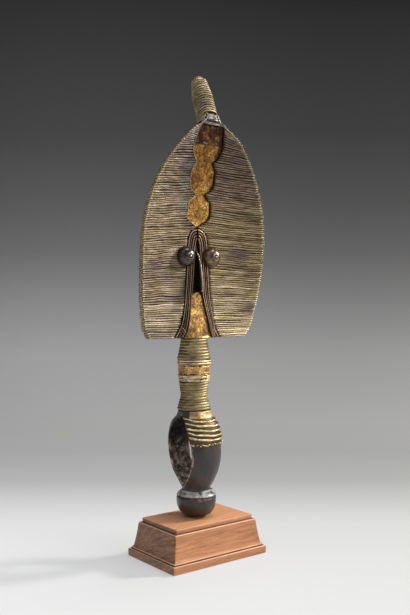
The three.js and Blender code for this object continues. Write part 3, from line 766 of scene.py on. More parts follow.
def ball_radius_at(z):
    """Radius of the ball foot, with the flat shoulder that is cut round its top."""
    rise = z - BALL_CENTRE
    reach = np.minimum(np.abs(rise) / (BALL_CENTRE - STAND_TOP - GAP + 0.4), 1)
    sphere = (BALL_RADIUS - 0.1) * (1 - reach**BALL_FULLNESS) ** (1 / BALL_FULLNESS)
    crease = 0.7 * ease(rise, SHOULDER_CUT - 2.2, SHOULDER_CUT - 0.5)
    return np.where(rise > SHOULDER_CUT, SHOULDER(rise), sphere - crease)


def round_ring(angle, radius, z):
    x, y = circle(radius, angle)
    return points_at(x, y + axis_at(max(z, BALL_CENTRE)), z)


def column_ring(angle, z):
    """The outline of ball, handle or neck at a height."""
    if z <= HANDLE_BOTTOM:
        return round_ring(angle, max(float(ball_radius_at(z)), BALL_FLAT_RADIUS), z)
    if z <= HANDLE_TOP:
        return handle_point(angle, z)
    return round_ring(angle, float(column_radius(z)), z)


def column_mesh():
    foot = STAND_TOP + GAP
    ball = foot + (HANDLE_BOTTOM - foot) * (1 - np.cos(np.linspace(0, math.pi / 2, BALL_RINGS)))
    handle = np.linspace(HANDLE_BOTTOM + 0.3, HANDLE_TOP, HANDLE_RINGS)
    neck = np.linspace(HANDLE_TOP + 0.2, HEAD_BOTTOM + 1.5, NECK_RINGS)
    angle = all_round(COLUMN_SIDES)
    rings = [column_ring(angle, z) for z in (*ball, *handle, *neck)]
    return one_body("column", rings, ring_faces(len(rings), COLUMN_SIDES))


def slot_mesh():
    """The pierced opening as a plug that is wider than the handle."""
    z = SLOT_MIDDLE + SLOT_HEIGHT / 2 * np.sin(np.linspace(-math.pi / 2, math.pi / 2, SLOT_STEPS))
    sections = []
    for x in (-40.0, 0.0, 40.0):
        front = points_at(x, slot_edge(z, True, x), z)
        back = points_at(x, slot_edge(z, False), z)[::-1]
        sections.append(np.concatenate([front, back[1:-1]]))
    return one_body("slot", sections, ring_faces(len(sections), len(sections[0])))


def board_mesh():
    """The leaf of the head between its front and its back, set a little under the metal."""
    z = blend(HEAD_BOTTOM, HEAD_TOP - 3, (1 - np.cos(np.linspace(0, math.pi, BOARD_ROWS))) / 2)[:, None]
    across = np.sin(np.linspace(-math.pi / 2, math.pi / 2, BOARD_COLUMNS))
    x = (head_half(z) - WIRE_LAYER - 2 * GAP) * across
    front = points_at(x, board_front(x, z) + 0.5, z)
    back = points_at(x, board_back(x, z) - 0.1, z)
    return one_body("board", *slab(front, back))


def knot_wood_mesh():
    along = np.linspace(-2, KNOT_LENGTH - KNOT_TIP, 40)
    radius = knot_outer(np.maximum(along, 0)) - KNOT_WIRE_DEPTH - GAP
    tip = [(4.6, KNOT_LENGTH - 1.3), (3.4, KNOT_LENGTH - 0.4), (1.6, KNOT_LENGTH - 0.05)]
    points, faces = lathe([*zip(radius, along), *tip], 48)
    return one_body("knot_wood", leaning(points), faces)


print("the ball is", round(2 * float(ball_radius_at(BALL_CENTRE)), 1), "mm across")

# %% [markdown]
# The four bodies become one carving: the opening is cut out, the rest is welded, and then the tools
# and the hands leave their marks on it.

# %% Cut, weld and wear
VOXEL = 1.0


def apply_modifiers(piece):
    """Turns a piece and its modifiers into one plain mesh."""
    graph = bpy.context.evaluated_depsgraph_get()
    mesh = bpy.data.meshes.new_from_object(piece.evaluated_get(graph))
    piece.modifiers.clear()
    old = piece.data
    piece.data = mesh
    bpy.data.meshes.remove(old)


def join_meshes(first, *others):
    """Adds the meshes of the others to the first and removes them."""
    joined = bmesh.new()
    for piece in (first, *others):
        joined.from_mesh(piece.data)
    joined.to_mesh(first.data)
    joined.free()
    for piece in others:
        bpy.data.objects.remove(piece)


def at_points(piece, what):
    """What a piece's mesh holds for each point: its place, "co", or its direction, "normal"."""
    values = np.empty(3 * len(piece.data.vertices), np.float32)
    piece.data.vertices.foreach_get(what, values)
    return values.reshape(-1, 3).astype(float)


def set_points(piece, points):
    piece.data.vertices.foreach_set("co", (points * MM).astype(np.float32).ravel())
    piece.data.update()


def set_mark(piece, name, values):
    mesh = piece.data
    attribute = mesh.attributes.get(name) or mesh.attributes.new(name, "FLOAT", "POINT")
    attribute.data.foreach_set("value", values.astype(np.float32))


def carve_body():
    body = column_mesh()
    slot = slot_mesh()
    cut = body.modifiers.new("opening", "BOOLEAN")
    cut.operation = "DIFFERENCE"
    cut.object = slot
    cut.solver = "EXACT"
    apply_modifiers(body)
    bpy.data.objects.remove(slot)
    join_meshes(body, board_mesh(), knot_wood_mesh())
    weld = body.modifiers.new("weld", "REMESH")
    weld.mode = "VOXEL"
    weld.voxel_size = VOXEL * MM
    soften = body.modifiers.new("soften", "SMOOTH")
    soften.factor = 0.5
    soften.iterations = 2
    apply_modifiers(body)
    body.name = "carved_wood"
    return body


def slot_nearness(points, reach=1.9):
    """1 at the walls of the opening and falling to 0 a few millimetres away."""
    z = points[:, 2]
    y = points[:, 1]
    off = np.minimum(np.abs(y - slot_edge(z, True, points[:, 0])), np.abs(y - slot_edge(z, False)))
    inside = np.abs(z - SLOT_MIDDLE) < SLOT_HEIGHT / 2 + 2
    return np.where(inside, np.clip(1 - off / reach, 0, 1), 0)


def under_surface(points):
    """How far points of the opening's walls lie inside the handle's outer surface, along X."""
    z = points[:, 2]
    swell = HANDLE_SWELL((z - HANDLE_BOTTOM) / HANDLE_HEIGHT)
    y = (points[:, 1] - axis_at(z)) / swell + HANDLE_WIDEST_FORWARD
    cosine = np.sqrt(np.clip(1 - (y / egg_depth(y)) ** 2, 0, 1))
    return swell * HANDLE_HALF_WIDTH * cosine - np.abs(points[:, 0])


def turn_ball(points):
    """Puts the ball's points on its turned profile again, with a crisp edge under the shoulder."""
    z = points[:, 2]
    off_axis = points[:, 1] - axis_at(BALL_CENTRE)
    radius = np.hypot(points[:, 0], off_axis)
    around = points_at(points[:, 0], off_axis) / np.maximum(radius, 1)[:, None]
    wanted = ball_radius_at(z + 0.6 * ripples(around * 14, 9, 15))
    on_ball = (z > STAND_TOP + 3) & (z < HANDLE_BOTTOM + 0.4)
    on_ball &= (radius > 11) & (np.abs(radius - wanted) < 1.8)
    grown = np.where(on_ball, wanted / np.maximum(radius, 1), 1)
    points[:, 0] *= grown
    points[:, 1] = axis_at(BALL_CENTRE) + off_axis * grown
    return points


def wood_wear(points, on_handle, buried):
    """How far hands have worn the opening's edges, a patch of the ball and the topknot's tip."""
    z = points[:, 2]
    rubbed = slot_nearness(points, 3.0) * np.clip(1 - np.abs(buried) / 2.4, 0, 1)
    rubbed *= ease(z, SLOT_MIDDLE + 18, SLOT_MIDDLE - 2) * np.where(points[:, 1] < 0, 1.0, 0.7)
    around = np.degrees(np.arctan2(points[:, 1] - axis_at(BALL_CENTRE), points[:, 0]))
    patch = np.clip(1.6 - np.hypot((around + 113) / 12, (z - BALL_CENTRE + 0.2) / 1.8), 0, 1)
    wear = np.where(on_handle, 2.4 * rubbed, 0)
    wear = np.maximum(wear, np.where(z < HANDLE_BOTTOM, patch, 0))
    wear = np.maximum(wear, ease(z, HEAD_TOP + 35, HEAD_TOP + 40))
    return wear * np.clip(0.75 + 0.6 * ripples(points, 5, 13), 0, 1)


def finish_carving(body):
    """Adds the tool marks of the back and the wear of the edges."""
    points = turn_ball(at_points(body, "co") / MM)
    normals = at_points(body, "normal")
    z = points[:, 2]
    on_back = (z > HEAD_BOTTOM) & (normals[:, 1] > 0.2)
    on_handle = (z > HANDLE_BOTTOM) & (z < HANDLE_TOP)
    on_ball = z < HANDLE_BOTTOM
    adze = ripples(points * [1, 1, 0.45], 9, 11) * 0.28
    worn = ripples(points, 13, 12) * 0.22
    lift = np.where(on_back, adze, 0) + np.where(on_handle, worn, 0) + np.where(on_ball, 0.6 * worn, 0)
    lift = np.where(z < STAND_TOP + 2.5, 0, lift)
    set_points(body, points + normals * (lift - np.where(on_ball, 0, 0.15))[:, None])
    buried = under_surface(points)
    hollow = on_handle & (slot_nearness(points) > 0.3) & (buried > 0.8)
    set_mark(body, "wear", wood_wear(points, on_handle, buried))
    set_mark(body, "crest", np.where(hollow, 0.0, 1.0))
    set_mark(body, "shoulder", (z > BALL_CENTRE + SHOULDER_CUT + 0.4) & (z < HANDLE_BOTTOM - 0.2))


carved_wood = carve_body()
finish_carving(carved_wood)
print("carved body:", len(carved_wood.data.vertices), "points")

# %% [markdown]
# The wood is nearly black with age, smoke and handling. Where hands rub it, on the edges of the
# opening and in a patch of the ball, reddish wood shows through. The shoulder above the ball is pale
# grey, worn and with a painted highlight. Inside the opening the wood is drier and mottled brown,
# and painted shade turns it black towards the top.

# %% Finish of the carved wood


def figure_wood_finish():
    finish = Finish("figure_wood", roughness=0.4)
    clouds = finish.noise(14, detail=5, stretch=(1, 1, 2.2))
    grain = finish.noise(1.6, detail=4, rough=0.65, stretch=(1, 1, 14), shift=2.2)
    mottle = finish.noise(4.5, detail=5, rough=0.65, shift=5.5)
    crumbs = finish.noise(4.6, detail=5, rough=0.62, shift=9.5)
    crest = finish.mark("crest")
    dark = finish.ramp(
        clouds, (0.3, (0.015, 0.011, 0.010)), (0.55, (0.035, 0.023, 0.019)), (0.78, (0.075, 0.041, 0.028))
    )
    grained = finish.ramp(grain, (0.3, 0.35), (0.7, (1.25, 1.2, 1.15)))
    dark = finish.mix(0.6, dark, grained, how="MULTIPLY")
    dry = finish.ramp(
        crumbs, (0.4, (0.012, 0.009, 0.009)), (0.54, (0.06, 0.046, 0.039)), (0.68, (0.24, 0.185, 0.15))
    )
    # Painted shade: inside the opening the dry wood turns black towards the top.
    high_up = finish.above(SLOT_MIDDLE - 6, SLOT_MIDDLE + 16)
    dry = finish.mix(high_up, dry, (0.008, 0.006, 0.006), amount=0.8)
    skin = finish.mix(crest, dry, dark)
    worn = finish.ramp(mottle, (0.3, (0.12, 0.05, 0.03)), (0.7, (0.42, 0.27, 0.18)))
    # The shoulder's pale grey is wear and a painted highlight of the light from above.
    pale = finish.ramp(mottle, (0.38, (0.04, 0.034, 0.03)), (0.58, (0.58, 0.55, 0.52)))
    skin = finish.mix(finish.mark("shoulder"), skin, pale, amount=0.85)
    rubbed = finish.times(finish.mark("wear"), finish.step(mottle, 0.3, 0.55))
    finish.colour(finish.mix(finish.step(rubbed, 0.25, 0.8), skin, worn))
    handled = finish.plus(finish.times(mottle, 0.5), 0.14)
    finish.set("Roughness", finish.larger(handled, finish.times(finish.minus(1.0, crest), 0.9)))
    finish.set("Specular IOR Level", finish.plus(finish.times(crest, 0.4), 0.1))
    finish.set("Coat Weight", finish.times(crest, 0.2))
    finish.set("Coat Roughness", 0.22)
    finish.bump(finish.plus(grain, finish.plus(mottle, crumbs)), 0.24, 0.55)
    return finish


dress(carved_wood, figure_wood_finish(), "figure_wood", "wooden_core")

# %% [markdown]
# ## The wires of the face
#
# Nearly a hundred flattened brass wires lie side by side across each half of the face. Each runs
# from the middle out to the rim, bends round it and ends on the back. Modelling every wire as its
# own tube gives the crossings, gaps and wavering lines of the real weaving, which a bump on a
# single sheet can't give at the rim or in the outline.

# %% Where the wires start
LOBES = [
    {"from": 0.524, "to": 0.673, "half": 12.4, "waist": 4.8},
    {"from": 0.673, "to": 0.82, "half": 13.2, "waist": 8.8},
    {"from": 0.82, "to": 0.99, "half": 16.0, "waist": 8.8},
]
LOBE_SHAPE = curve_through([
    [0, 0], [0.1, 0.42], [0.2, 0.8], [0.27, 0.97], [0.35, 1],
    [0.68, 0.99], [0.76, 0.93], [0.86, 0.56], [0.95, 0.18], [1, 0],
])
CROWN_SHAPE = curve_through([[0, 0], [0.08, 0.4], [0.2, 0.78], [0.36, 1], [0.6, 0.86], [0.9, 0.52], [1, 0.4]])
PLATE_FOOT = HEAD_BOTTOM + LOBES[0]["from"] * HEAD_HEIGHT
PLATE_TOP = HEAD_TOP - 4.0
SMALL_PLATE_TOP = HEAD_TOP + 5.4
BORDER_WIRE = 0.7
STRAND_OUTER = curve_through([
    [0, 27], [0.05, 20.7], [0.11, 17.6], [0.19, 15], [0.32, 13.2],
    [0.45, 11.8], [0.485, 9.8], [0.505, 6.6], [0.515, 1.2],
])
STRAND_INNER = curve_through([
    [0, 15.5], [0.05, 11.7], [0.14, 8.0], [0.21, 5.6], [0.32, 3.4], [0.4, 2.6], [0.46, 1.4], [0.515, 0.7]
])


def plate_half(z):
    """Half width of the lobed plate of the forehead."""
    share = float(head_share(z))
    index = next((i for i, lobe in enumerate(LOBES) if share <= lobe["to"]), len(LOBES) - 1)
    lobe = LOBES[index]
    lower_waist = LOBES[index - 1]["waist"] if index else 0.6
    along = min(max((share - lobe["from"]) / (lobe["to"] - lobe["from"]), 0.0), 1.0)
    waist = blend(lower_waist, lobe["waist"], along)
    shape = CROWN_SHAPE if lobe is LOBES[-1] else LOBE_SHAPE
    return blend(waist, lobe["half"], float(shape(along)))


def plate_shift(z):
    """How far the lobed plate sits to the right of the middle at a height."""
    share = head_share(z)
    return 1.2 * ease(share, 0.53, 0.6) * (1 - ease(share, 0.82, 0.93))


def small_plate_half(z):
    """Half width of the small plate at the topknot's foot, which flares towards its lower edge."""
    down = min(max((SMALL_PLATE_TOP - z) / (SMALL_PLATE_TOP - PLATE_TOP), 0.0), 1.0)
    return 6.6 + 5.8 * down**2


def wires_start(z, side):
    """Inner edge of the wires at a height, on the left (-1) or the right (1)."""
    if z >= PLATE_TOP:
        return small_plate_half(z) + GAP
    if z >= PLATE_FOOT:
        return plate_half(z) + side * float(plate_shift(z)) + BORDER_WIRE + GAP
    return max(float(STRAND_OUTER(head_share(z))), 1.0) + GAP


print("forehead plate", round(plate_half(PLATE_FOOT + 15), 1), "mm wide on each side, 15 mm up")

# %% [markdown]
# A wire's path is drawn flat first: over the hollow face, round the two corners of the rim and a
# little way over the back. The corners are short curves. The path is then sunk by half the wire's
# depth, so that the tube's crest lies on the face.

# %% Path of one wire
WIRE_PITCH = 2.0
WIRE_DEPTH = 1.75
WIRE_SIDES = 8
SHORTEST_WIRE = 3.4
FOLD_LENGTH = 9.0
RIM_CORNER = 1.3


def rounded_corner(before, corner, after, steps=5):
    """Points of a curve that leaves one line and joins the next near a corner."""
    t = np.linspace(0, 1, steps)[:, None]
    return (1 - t) ** 2 * before + 2 * t * (1 - t) * corner + t**2 * after


def wire_path(inner_z, rim_z, start, seed, slack):
    """Outer line of one wire on the right half of the face, and its outward directions."""
    half = float(head_half(rim_z)) - 0.1 + slack
    face_steps = max(int((half - start) / 2.6), 3)
    share = np.linspace(0, 1, face_steps + 1)
    x = blend(start, half - RIM_CORNER, share)
    z = blend(inner_z, rim_z, x / half - start / half * (1 - share))
    held = np.sin(math.pi * share) ** 0.5
    z = z + 0.5 * ripples(points_at(x, inner_z * 2.4), 17, 100) * held
    z = z + 0.2 * ripples(points_at(x, 0.0), 13, seed) * held
    face = points_at(x, face_at(x, z), z)
    rim_front = float(face_at(half, rim_z))
    end = half - min(FOLD_LENGTH, 0.5 * half)
    end_y = max(float(board_back(end, rim_z)) + GAP + WIRE_DEPTH, rim_front + 3)
    front_corner = np.array([half, rim_front, rim_z])
    back_corner = np.array([half, rim_front + RIM_THICKNESS, rim_z])
    tail = np.array([end, end_y, rim_z])
    backwards = np.array([0, RIM_CORNER, 0])
    inwards = unit(tail - back_corner) * RIM_CORNER
    first = rounded_corner(face[-1], front_corner, front_corner + backwards)
    second = rounded_corner(back_corner - backwards, back_corner, back_corner + inwards)
    along_back = blend(second[-1], tail, np.linspace(0.25, 1, 4)[:, None])
    path = np.concatenate([face, first[1:], second, along_back])
    direction = np.gradient(path, axis=0)
    return path, unit(points_at(direction[:, 1], -direction[:, 0], 0.0))


longest_path = wire_path(HEAD_WIDEST, HEAD_WIDEST, 9.0, seed=1, slack=0.0)[0]
print("the longest wires are drawn through", len(longest_path), "points")

# %% [markdown]
# The wires come down a little on their way to the rim, each wing by its own measure. The lower
# wires of the right wing stand out over the rim, and each wire is bright at the rim's corner: rubbed
# metal and painted light.

# %% Both wings of wire
WING_TOP = HEAD_TOP - 0.6
RIM_SLACK = 2.2
DROOP = {-1: 7.5, 1: 3.6}
DROOP_AT_TOP = {-1: 5.5, 1: 6.5}


def level_share(path):
    """1 where a wire runs level, less where it slants, because its neighbours lie closer there."""
    step = np.gradient(path, axis=0)
    return np.maximum(np.hypot(step[:, 0], step[:, 1]) / np.linalg.norm(step, axis=1), 0.4)


def wire_droop(side, share):
    """How far a wire comes down on its way to the rim; share is its place from foot to top."""
    share = min(max(share, 0.0), 1.0)
    bow = DROOP[side] * math.sin(math.pi * share**1.4)
    return bow + DROOP_AT_TOP[side] * float(ease(share, 0.78, 1))


def rim_slack(side, z):
    """How far the lower wires of the right wing stand out over its rim."""
    return RIM_SLACK * (1 - float(ease(head_share(z), 0.1, 0.4))) if side > 0 else 0.0


def wing_mesh(side, word, seed):
    random = np.random.default_rng(seed)
    gathering = Gathering()
    lowest = HEAD_BOTTOM + WIRE_PITCH / 2 + 0.1
    height = WING_TOP - lowest
    count = round(height / WIRE_PITCH)
    drift = 0.0
    for i in range(count + 1):
        drift = 0.6 * drift + random.normal(0, 0.15)
        share = i / count
        inner_z = blend(lowest, WING_TOP, share) + (drift if 0 < i < count else 0.0)
        rim_z = inner_z - wire_droop(side, share)
        start = wires_start(inner_z, side) + random.uniform(-0.5, 0.25)
        start = min(start, float(head_half(rim_z)) - SHORTEST_WIRE)
        slack = rim_slack(side, rim_z) - abs(random.normal(0, 0.3))
        path, out = wire_path(inner_z, rim_z, start, seed + i, slack)
        proud = random.normal(0, 0.1)
        width = WIRE_PITCH * random.uniform(0.88, 1.0) * level_share(path)
        closer = (wire_droop(side, share + 0.01) - wire_droop(side, share - 0.01)) / 0.02 / height
        width = width * (1 - max(closer, 0.0) * np.clip(path[:, 0] / path[:, 0].max(), 0, 1))
        depth = WIRE_DEPTH * random.uniform(0.94, 1.04)
        path = path - out * (depth / 2 + max(0.1 + proud, 0.0))
        # Each wire is bright at the rim's corner: rubbed metal and painted light on the rim's side.
        rim = int(np.argmax(path[:, 0] > path[:, 0].max() - 0.05))
        rubbed = bell(np.linalg.norm(path - path[rim], axis=1), 0.0, 1.3)
        marks = {"tone": random.random(), "wear": np.repeat(rubbed, WIRE_SIDES)}
        points, faces, crest = tube(path, out, width, depth, WIRE_SIDES)
        gathering.add(points * [side, 1, 1], faces, crest=crest, **marks)
    return gathering.build(f"wing_wires_{word}")


print("half way up the left wires come down", round(wire_droop(-1, 0.5), 1), "mm")

# %% [markdown]
# Old brass is never one colour. Over the yellow metal lie a brown and a grey tarnish in broad
# clouds, some wires more than others, with greenish copper salts near the middle plate. Crests are
# polished, and dirt and painted shade darken the gaps between wires.

# %% Finish of the wires


def wire_finish(
    name, light=1.0, blue=1.0, browner_above=0.0, paler_below=0.0, salts_near=0.0, dirty=0.72, matt=0.0
):
    """Tarnished brass. It may be browner above a height, paler below another and green with salts
    up to a distance left of the middle, all in millimetres. Dirty is the share of dirt and painted
    shade between the wires, and matt is added to the roughness."""
    finish = Finish(name, roughness=0.4, metallic=0.86)
    clouds = finish.noise(22, detail=4, stretch=(1.6, 1, 1))
    streaks = finish.noise(4, detail=4, rough=0.6, stretch=(5, 1, 0.6), shift=4.2)
    fine = finish.noise(0.9, detail=3, rough=0.6, stretch=(3, 1, 1), shift=8.8)
    patches = finish.noise(8, detail=5, rough=0.6, shift=12.4)
    gold = finish.ramp(
        streaks,
        (0.3, (0.17, 0.12, 0.065)),
        (0.46, (0.28, 0.215, 0.12)),
        (0.62, (0.39, 0.325, 0.205)),
        (0.78, (0.54, 0.49, 0.38)),
    )
    brown = finish.ramp(
        streaks, (0.3, (0.085, 0.055, 0.043)), (0.55, (0.2, 0.15, 0.12)), (0.8, (0.36, 0.3, 0.27))
    )
    browned = finish.step(clouds, 0.48, 0.7)
    if browner_above:
        high_up = finish.above(browner_above - 12, browner_above + 14)
        browned = finish.larger(browned, finish.times(high_up, 0.8))
    toned = finish.ramp(
        finish.mark("tone"), (0.0, (0.72, 0.7, 0.68)), (0.5, (0.96, 0.95, 0.93)), (1.0, (1.22, 1.2, 1.16))
    )
    metal = finish.tint(finish.mix(browned, gold, brown), toned)
    metal = finish.tint(metal, (light, light, light * blue))
    if paler_below:
        low_down = finish.above(paler_below + 50, paler_below - 70)
        metal = finish.tint(metal, finish.ramp(low_down, (0.0, (0.84, 0.82, 0.8)), (1.0, (1.3, 1.32, 1.42))))
    salts = finish.times(finish.step(patches, 0.63, 0.74), 0.55)
    if salts_near:
        to_middle = finish.step(finish.along("X"), -salts_near * MM, 0.6 * -salts_near * MM)
        beside = finish.times(to_middle, finish.step(patches, 0.48, 0.62))
        beside = finish.times(beside, finish.above(PLATE_FOOT + 8, PLATE_FOOT + 20))
        salts = finish.larger(salts, finish.times(beside, 0.55))
    metal = finish.mix(salts, metal, (0.23, 0.29, 0.28))
    # The wear mark brightens the rim's corner: rubbed metal and painted light.
    metal = finish.mix(finish.mark("wear"), metal, (0.66, 0.55, 0.34), amount=0.5)
    # Dirt and painted shade darken the gaps between the wires.
    finish.colour(finish.soil_and_shade(metal, (0.05, 0.037, 0.026), 0.84, 0.5, dirty))
    finish.gloss(streaks, 0.58 + matt, 0.42 + matt)
    finish.bump(finish.plus(fine, streaks), 0.1, 0.5)
    return finish


left_wires = wire_finish(
    "left_wires",
    light=0.98,
    blue=1.1,
    browner_above=345.0,
    paler_below=240.0,
    salts_near=30.0,
    dirty=0.28,
    matt=0.14,
)
# The right wing's copy is painted lighter than the left one: painted light for the wing that faces away from
# the key light.
right_wires = wire_finish("right_wires", light=1.3, browner_above=318.0, paler_below=240.0)
dress(wing_mesh(-1, "left", 20), left_wires, "brass_wire", "face_wires_left")
dress(wing_mesh(1, "right", 57), right_wires, "brass_wire", "face_wires_right")

# %% [markdown]
# ## Sheet metal of the face
#
# Thin plates fill the middle: a golden one with three lobes on the forehead, dark copper above it,
# and a golden throat. Each is a grid of points laid on the face and beaten with ripples, thin but
# with two sides, and its edges run under the wires. The lobed plate sits 1.2 mm to the right.

# %% Plates
PLATE_THICKNESS = 0.5
UNDER_WIRES = 0.9
LIP_FORWARD = 0.9
# Crest levels between which sheet metal darkens with dirt and painted shade, and how much.
DIRT_AND_SHADE_LEVELS = (0.9, 0.3, 0.85)


def plate_mesh(name, heights, half_at, columns, seed, beat=0.16, lip=0.01, border=False, shade_from=2.0):
    """A thin plate on the face with beaten bumps, a little wider than its outline to run under the
    wires. Above a share of the head a painted shadow darkens its right edge."""
    across = np.linspace(-1, 1, columns)
    z = np.asarray(heights)[:, None]
    half = np.array([half_at(height) for height in heights])[:, None] + UNDER_WIRES
    shift = plate_shift(z)
    x = half * across + shift
    flat = points_at(x, z).reshape(-1, 2)
    dents = (ripples(flat, 2.6, seed) * 0.55 + ripples(flat, 7, seed + 1) * 0.45).reshape(x.shape)
    inside = np.minimum(1, (1 - np.abs(across)) * half / 1.5)
    y = board_front(x, z) - PLATE_THICKNESS + 0.1 * (1 - inside) - beat * dents * inside
    y = y - LIP_FORWARD * np.clip(1 - (z - z.min()) / lip, 0, 1) ** 2
    points, faces = slab(points_at(x, y, z), points_at(x, y + PLATE_THICKNESS, z))
    # Painted shadow: the right edge is darkened where the wires of the right wing would shade it.
    from_right = half - (x - shift)
    shaded = ease(from_right, 4.6, 3.0) * ease(head_share(z), shade_from, shade_from + 0.05)
    gathering = Gathering()
    gathering.add(points, faces, crest=np.tile((inside * (1 - 0.9 * shaded)).ravel(), 2))
    if border:
        for side in (-1, 1):
            add_border(gathering, heights, half[:, 0] - UNDER_WIRES, side)
    return gathering.build(name)


def add_border(gathering, z, half, side):
    """The edge of a plate, turned up against the ends of the wires; the left one gets a painted highlight and
    the right one painted shade.
    """
    x = side * (half + BORDER_WIRE / 2) + plate_shift(z)
    points, faces, crest = tube(points_at(x, face_at(x, z) + 0.75, z), FORWARD, BORDER_WIRE, 1.7)
    # Painted highlight on the left edge, painted shade on the right one.
    if side < 0:
        gathering.add(points, faces, crest=crest, wear=np.clip(2 * crest - 1, 0, 1))
    else:
        gathering.add(points, faces, crest=0.0)


def golden_finish(name, light=1.0, paleness=0.08, painted_shade_above=0.0):
    """Golden sheet metal with brown tarnish in specks, and painted shade that may darken it above a height.
    """
    finish = Finish(name, roughness=0.42, metallic=0.9)
    clouds = finish.noise(7, detail=4, rough=0.6)
    specks = finish.noise(1.8, detail=4, rough=0.7, shift=3.3)
    fine = finish.noise(0.7, detail=2, shift=9.1)
    blotches = finish.noise(3.2, detail=3, shift=14.0)
    gold = finish.ramp(
        clouds, (0.34, (0.13, 0.06, 0.014)), (0.5, (0.31, 0.165, 0.035)), (0.68, (0.56, 0.34, 0.09))
    )
    glints = finish.ramp(
        specks, (0.36, (0.22, 0.15, 0.12)), (0.5, (0.9, 0.86, 0.8)), (0.66, (1.8, 1.75, 1.7))
    )
    gold = finish.tint(finish.tint(gold, glints), light)
    gold = finish.mix(paleness, gold, (0.5 * light, 0.44 * light, 0.32 * light))
    if painted_shade_above:
        # Painted shade: the plate darkens towards its top, where it arches forward and faces down.
        high_up = finish.above(painted_shade_above - 12, painted_shade_above + 16)
        gold = finish.mix(high_up, gold, finish.tint(gold, (0.66, 0.6, 0.6)))
    gold = finish.mix(finish.step(blotches, 0.6, 0.72), gold, (0.4, 0.15, 0.06), amount=0.5)
    # Dirt and painted shade darken the sheet where its crest mark falls: the shadowed right edge, pressed
    # dents and hollows.
    gold = finish.soil_and_shade(gold, (0.03, 0.018, 0.01), *DIRT_AND_SHADE_LEVELS)
    finish.colour(finish.mix(finish.mark("wear"), gold, (0.55, 0.45, 0.3)))
    finish.gloss(specks, 0.55, 0.38)
    finish.bump(finish.plus(specks, fine), 0.14, 0.6)
    return finish


golden_brass = golden_finish("golden_brass", light=1.28, paleness=0.03, painted_shade_above=PLATE_FOOT + 30)
PLATE_JOIN = low("crown_plate")[2]
forehead_heights = np.linspace(PLATE_FOOT, PLATE_JOIN - GAP, 130)
forehead = plate_mesh("forehead_plate", forehead_heights, plate_half, 41, 31, border=True, shade_from=0.83)
dress(forehead, golden_brass, "golden_brass", "face_plate")

# %% [markdown]
# The crown sheet is dark copper. Where it meets the golden plate below, green copper salts have
# grown along the seam.

# %% Crown sheet


def copper_finish():
    finish = Finish("copper", roughness=0.46, metallic=0.8)
    clouds = finish.noise(5, detail=5, rough=0.66)
    fine = finish.noise(1.0, detail=3, shift=6.1)
    salts = finish.noise(3.4, detail=4, rough=0.7, shift=2.7)
    metal = finish.ramp(
        clouds,
        (0.36, (0.014, 0.009, 0.008)),
        (0.48, (0.06, 0.023, 0.012)),
        (0.57, (0.16, 0.068, 0.022)),
        (0.68, (0.36, 0.21, 0.07)),
    )
    seam = finish.above(PLATE_JOIN + 3.2, PLATE_JOIN + 0.6)
    green = finish.ramp(fine, (0.3, (0.08, 0.1, 0.11)), (0.7, (0.27, 0.33, 0.35)))
    metal = finish.mix(finish.times(seam, finish.step(salts, 0.5, 0.62)), metal, green)
    # Dirt and painted shade darken the sheet where its crest mark falls, as along its shadowed right edge.
    metal = finish.soil_and_shade(metal, (0.015, 0.011, 0.01), *DIRT_AND_SHADE_LEVELS)
    finish.colour(finish.mix(finish.mark("wear"), metal, (0.5, 0.42, 0.3)))
    finish.gloss(fine, 0.36, 0.55)
    finish.bump(finish.plus(clouds, fine), 0.16, 0.6)
    return finish


CROWN_TOP = high("crown_plate")[2]


def crown_half(z):
    return min(plate_half(z), float(head_half(min(z, PLATE_TOP))) - 1.2)


crown_heights = np.linspace(PLATE_JOIN, CROWN_TOP + 0.3, 30)
crown = plate_mesh("crown_sheet", crown_heights, crown_half, 41, 41, beat=0.3, border=True, shade_from=0.83)
dress(crown, copper_finish(), "copper", "crown_plate")

# %% [markdown]
# The throat plate bulges forward over the neck and ends in a rolled lip.

# %% Throat plate
THROAT_TOP = high("throat_plate")[2]
LIP = 2.6


def throat_half(z):
    down = min((THROAT_TOP - z) / 6, 1.0)
    round_top = math.sqrt(max(1 - (1 - down) ** 2, 0.01))
    return float(STRAND_INNER(head_share(z))) * round_top


throat_heights = np.linspace(HEAD_BOTTOM, THROAT_TOP, 70)
throat = plate_mesh("throat_sheet", throat_heights, throat_half, 31, 51, beat=0.14, lip=LIP)
throat_brass = golden_finish("throat_brass", light=0.95)
dress(throat, throat_brass, "golden_brass", "throat_plate")

# %% [markdown]
# ## Brows and nose
#
# A strand of four wires forms each brow. It starts at the apex under the forehead plate, arches
# over the inner side of the eye and runs down to the chin, where it flares and three thin wires
# bind it. Each wire is a tube of its own, so that the grooves between them stay deep and dark as on
# the real one.

# %% Brow strands
BROW_TONES = (1.0, 0.25, 0.7, 0.5)
BROW_WIRES = len(BROW_TONES)
BROW_TOP = HEAD_BOTTOM + 0.515 * HEAD_HEIGHT
BROW_DEPTH = 2.6
BROW_WIDTH = 9.8
BINDING = 0.75
BINDING_SLANT = 7.5
BINDING_STARTS = (3.6, 5.6, 7.4)


def brow_edges(z):
    """Distances of the strand's outer and inner edge from the middle of the face at a height."""
    outer = STRAND_OUTER(head_share(z)) - 2 * GAP
    return outer, np.minimum(STRAND_INNER(head_share(z)), outer - 1)


